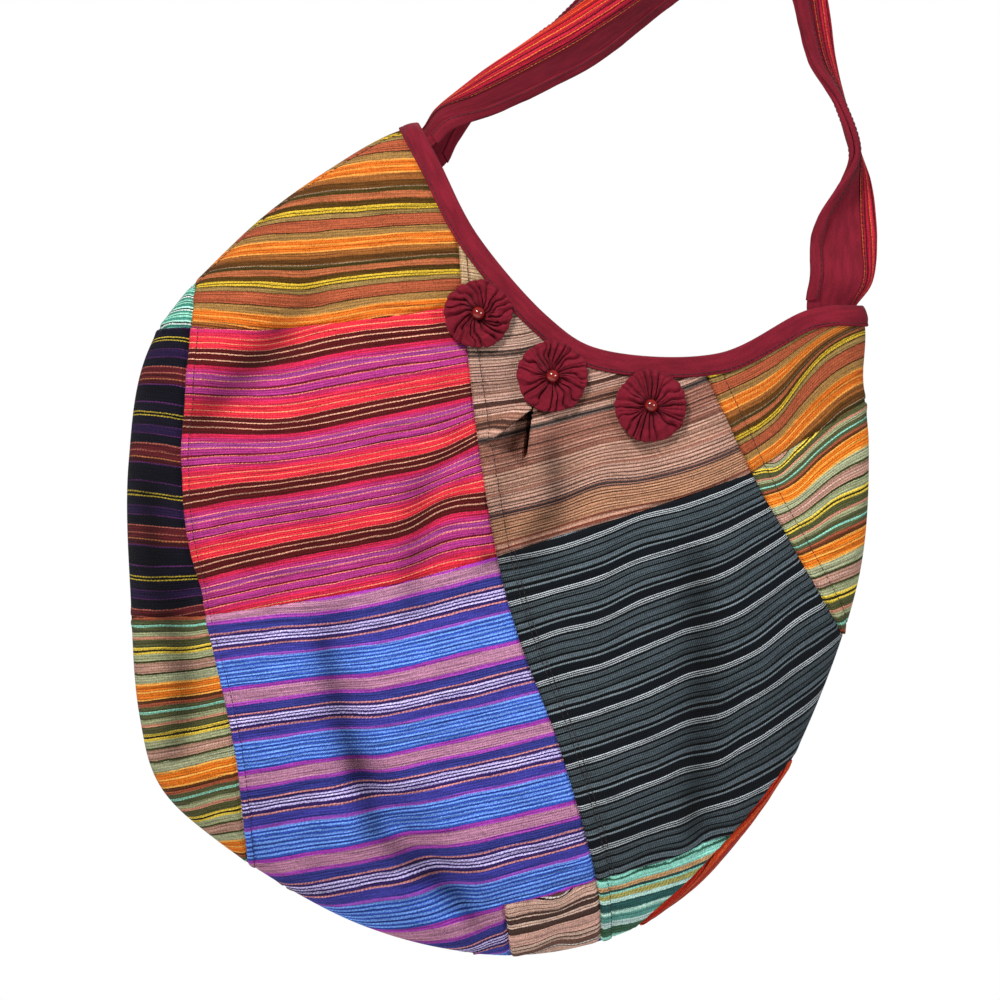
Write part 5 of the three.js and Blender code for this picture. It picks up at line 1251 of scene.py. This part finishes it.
# rosettes and beads: x, drop, radius, seed
rosettes = {"rosette_1": (-66.4, 86.6, 19.6, 61), "rosette_2": (-13.1, 103.7, 20.6, 62),
            "rosette_3": (46, 98.1, 20.8, 63)}
gather = {
    "pleats": 19, "lift": 2.3, "wall": 0.5, "rows": 46, "columns": 270, "creaseDeg": 70,
    "widths": (0.55, 1.5), "lean": 0.8, "swirl": 0.1, "stray": 0.16, "skew": (0.6, 1.6),
    "tall": (0.65, 1.2), "creaseAt": (0.35, 0.65), "creaseWidth": 0.09, "creaseDepth": 0.4, "crumple": 0.55,
    "scallop": 0.045, "wavy": 0.014, "weave": 14, "ridgePower": 2.6, "valley": 0.75, "scallopFrom": 0.7,
    "measuredRow": 25,
    # the cloth's path from the middle of the back out and in to the hole: share of reach, height, pleat
    "path": [(0.02, 0.0, 0), (0.5, 0.0, 0), (0.9, 0.1, 0), (0.985, 0.7, 0.7), (1.0, 1.8, 1.5),
             (0.965, 2.9, 2.2),
             (0.86, 3.8, 2.9), (0.68, 4.5, 3.3), (0.48, 4.9, 3.3), (0.32, 4.6, 2.9), (0.2, 3.8, 2.0),
             (0.14, 2.6, 1.0),
             (0.1, 1.2, 0.3)]}
beadLook = {"radius": 3.8, "hole": 0.55, "seat": 4.5, "turns": 41, "wallRows": 9, "sides": 56,
            "upright": (0.3, 0.1, 0.9)}     # the hole lies square to this


def gatherRosette(name):
    # a round of cloth drawn up to a hole; ridges round and valleys sharp, each pleat its own width and lean
    x, drop, radius, seed = rosettes[name]
    random = np.random.default_rng(seed)
    perPleat = lambda low, high: random.uniform(low, high, gather["pleats"])
    path = centripetal(gather["path"], np.linspace(0, 1, gather["rows"]))
    reach, height, depth = path.T[..., None]
    angles = np.linspace(0, fullTurn, gather["columns"] + 1)[None, :-1]
    widths = perPleat(*gather["widths"])
    edges = np.concatenate([[0], np.cumsum(widths)]) / widths.sum() * fullTurn
    lean = random.uniform(-gather["lean"], gather["lean"])
    inward = np.maximum(1 - reach, 0)
    turned = angles + lean * inward**1.5 + gather["swirl"] * np.sin(3 * angles + seed) * inward
    turned = (turned + gather["stray"] * valueNoise(angles * 3, reach * 3.5, seed + 9)) % fullTurn
    index = np.clip(np.searchsorted(edges, turned, side="right") - 1, 0, gather["pleats"] - 1)
    share = np.clip((turned - edges[index]) / (edges[index + 1] - edges[index]), 0, 1)
    share = share ** perPleat(*gather["skew"])[index]     # each pleat leans its own way
    ridge = (1 - np.abs(2 * share - 1) ** gather["ridgePower"]) * perPleat(*gather["tall"])[index]
    crease = bump(share, perPleat(*gather["creaseAt"])[index], gather["creaseWidth"])
    ridge = ridge - gather["creaseDepth"] * crease * perPleat(0, 1)[index]
    scallop = gather["scallop"] * (depth > 0) * (ridge - gather["scallopFrom"])
    wide = reach * radius * (1 + scallop + gather["wavy"] * np.sin(5 * angles + seed))
    rise = height + depth * (ridge - gather["valley"])
    rise = rise + (depth > 0) * gather["crumple"] * valueNoise(turned * 9, reach * 6, seed)
    place = np.stack([x + wide * np.cos(angles), drop + wide * np.sin(angles)], axis=-1)
    base, normal, _ = panelSurface(-1, place)
    _, steady, _ = panelSurface(-1, np.array([[[x, drop]]]))
    outer = base + (normal * 0.5 + steady * 0.5) * (gather["lift"] + rise)[..., None]
    around = np.roll(outer, -1, axis=1) - np.roll(outer, 1, axis=1)
    bend = unit(np.cross(np.gradient(outer, axis=0), around))
    bend *= np.sign((bend[gather["measuredRow"]] * steady[0]).sum())     # away from the inside of the puff
    inner = outer - bend * gather["wall"] * np.minimum(1, reach * 6)[..., None]
    weave = pairs(angles * gather["weave"], lengthAlong(outer[:, 0])[:, None])
    piece = addShell("visual_" + name, outer, inner, rosetteCloth, weave, True, gather["creaseDeg"])
    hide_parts(name)


def beadPaint():     # dark red glass-like gloss with a faint swirl
    paint = Paint("glossy_red_bead")
    swirl = paint.cloud(260.0, 2.0)
    colour = paint.mix(swirl.within(0.3, 0.7), shade("5e0a07"), shade("8a150e"))
    return paint.finish(colour, 0.14 + swirl * 0.08, Coat_Weight=0.6, Coat_Roughness=0.05, IOR=1.5)


redBead = beadPaint()


def threadBead(name, rosette):     # a drilled ball: its round meets the wall of the hole
    x, drop, _, _ = rosettes[rosette]
    radius, hole = beadLook["radius"], beadLook["hole"]
    base, normal, _ = panelSurface(-1, np.array([x, drop]))
    middle = base + normal * (beadLook["seat"] + radius)
    holeTurn = math.asin(hole / radius)
    turn = np.linspace(holeTurn, np.pi - holeTurn, beadLook["turns"])
    profile = np.stack([np.sin(turn), np.cos(turn)], axis=-1) * radius
    deep = np.linspace(-1, 1, beadLook["wallRows"] + 2)[1:-1] * profile[0, 1]
    wall = np.stack([np.full_like(deep, hole), deep], axis=-1)
    profile = np.concatenate([profile, wall])
    axis = unit(np.cross(normal, beadLook["upright"]))
    first = unit(np.cross(axis, normal))
    second = np.cross(axis, first)
    angles = np.linspace(0, fullTurn, beadLook["sides"] + 1)[:-1][:, None, None]
    grid = (middle + profile[None, :, :1] * (first * np.cos(angles) + second * np.sin(angles))
            + profile[None, :, 1:] * axis)
    faces = shellFaces(*grid.shape[:2], True, True, thick=False)
    piece = addPiece("visual_" + name, grid.reshape(-1, 3), faces, redBead)
    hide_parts(name)


for number in (1, 2, 3):
    gatherRosette("rosette_%d" % number)
    threadBead("bead_%d" % number, "rosette_%d" % number)
print("rosettes and beads placed")

# rows of stitches
stitch = {"pitch": 3.0, "length": 2.55, "radius": 0.28, "lift": 0.08, "sides": 6, "margin": 1.5, "bow": 0.9}


def threadPaint():     # dark cotton, mottled by its twist
    paint = Paint("dark_thread")
    twist = paint.cloud(900.0, 1.0)
    colour = paint.mix(twist.within(0.35, 0.65), shade("1c1418"), shade("3a2a2c"))
    return paint.finish(colour, 0.7 + twist * 0.2, twist, 0.0001, Specular_IOR_Level=0.3)


def sewRows():     # a short rounded bar for each stitch, laid along the row and bowed into the cloth
    turns = np.linspace(0, fullTurn, stitch["sides"] + 1)[:-1]
    ends = np.array([-1, -0.85, 0, 0.85, 1.0])
    girth = np.array([0.05, 0.75, 1, 0.75, 0.05])[:, None] * stitch["radius"]
    bow = stitch["lift"] - stitch["bow"] * ends[:, None] ** 4 * stitch["radius"]
    starts, alongs, normals = [], [], []
    for line, normal in stitchPaths:
        length = lengthAlong(line)
        spots = np.arange(stitch["margin"], length[-1] - stitch["margin"], stitch["pitch"])
        starts.append(atLengths(spots, length, line))
        alongs.append(unit(atLengths(spots + 1, length, line) - atLengths(spots - 1, length, line)))
        normals.append(unit(atLengths(spots, length, normal)))
    spot, along, normal = (np.concatenate(values)[:, None, None] for values in (starts, alongs, normals))
    points = (spot + along * (ends * stitch["length"] / 2)[None, :, None, None]
              + np.cross(along, normal) * (girth * np.cos(turns))[None, ..., None]
              + normal * (girth * np.sin(turns) + bow)[None, ..., None])
    size = len(ends) * len(turns)
    caps = np.array([[0, 1, 2, 3], [0, 3, 4, 5]])
    one = shellFaces(len(ends), len(turns), False, True, thick=False)
    one = np.concatenate([one, caps[:, ::-1], caps + size - len(turns)])
    faces = (one[None] + (np.arange(len(spot)) * size)[:, None, None]).reshape(-1, 4)
    addPiece("topstitching", points.reshape(-1, 3), faces, threadPaint())
    print("stitches sewn:", len(spot))


sewRows()

# studio, in metres; a lamp's place is sideways, upward and nearer, then its size, watts and colour
studio = {
    "middle": (-0.0141, -0.4011), "width": 0.58, "distance": 12.0, "sensor": 36, "clipEnd": 50,
    "floorDrop": -1.25, "floorReach": 1.6, "floorSides": 96, "roomLight": 0.26,
    "lamps": {"key": ((-0.6, 1.3, 1.3), 0.4, 37, (1, 0.98, 0.95)),
              "fill": ((1.5, 0.3, 1.1), 0.6, 17, (0.96, 0.98, 1)),
              "back": ((0.2, 1.3, -1.2), 1.0, 18, (1, 1, 1))}}


def setStudio():     # a far camera rolled by the tilt, three lamps, and a white room that lights a little
    scene = bpy.context.scene
    scene.view_settings.view_transform = "Standard"
    right, up = Vector((tiltCos, 0, tiltSin)), Vector((-tiltSin, 0, tiltCos))
    target = Vector((studio["middle"][0], 0, studio["middle"][1]))
    lens = bpy.data.cameras.new("camera")
    lens.sensor_width = studio["sensor"]
    lens.lens = studio["sensor"] * studio["distance"] / studio["width"]
    lens.clip_end = studio["clipEnd"]
    camera = bpy.data.objects.new("camera", lens)
    scene.collection.objects.link(camera)
    turn = Matrix((right, up, (0, -1, 0))).transposed().to_4x4()
    camera.matrix_world = Matrix.Translation(target + Vector((0, -studio["distance"], 0))) @ turn
    scene.camera = camera
    for name, ((sideways, upward, nearer), size, power, colour) in studio["lamps"].items():
        lamp = bpy.data.lights.new(name, "AREA")
        lamp.size, lamp.energy, lamp.color = size, power, colour
        light = bpy.data.objects.new(name, lamp)
        spot = target + right * sideways + up * upward + Vector((0, -nearer, 0))
        aim = (target - spot).to_track_quat("-Z", "Y").to_matrix().to_4x4()
        light.matrix_world = Matrix.Translation(spot) @ aim
        scene.collection.objects.link(light)
    room = Paint("studio", "worlds")
    white = (1, 1, 1, 1)
    seenWhite = room.add("ShaderNodeBackground", None, {"Color": white, "Strength": 1.0})
    roomLight = room.add("ShaderNodeBackground", None, {"Color": white, "Strength": studio["roomLight"]})
    toCamera = room.add("ShaderNodeLightPath").other("Is Camera Ray")
    blend = room.add("ShaderNodeMixShader", None, {0: toCamera, 1: roomLight, 2: seenWhite})
    room.add("ShaderNodeOutputWorld", None, {"Surface": blend})
    scene.world = room.owner


def layFloor():     # a round floor well below the bag
    paint = Paint("pale_floor")
    colour = paint.mix(paint.cloud(6.0, 3.0), shade("e6e4e0"), shade("efeeeb"))
    sides, reach = studio["floorSides"], studio["floorReach"]
    angles = np.linspace(0, fullTurn, sides + 1)[:-1]
    level = np.full(sides, studio["floorDrop"])
    ring = np.stack([np.cos(angles) * reach, np.sin(angles) * reach, level], axis=-1)
    mesh = bpy.data.meshes.new("floor")
    mesh.from_pydata(ring.tolist(), [], [list(range(sides))])
    mesh.materials.append(paint.finish(colour, 0.75))
    floor = bpy.data.objects.new("floor", mesh)
    bpy.context.scene.collection.objects.link(floor)


setStudio()
layFloor()
print("studio set")
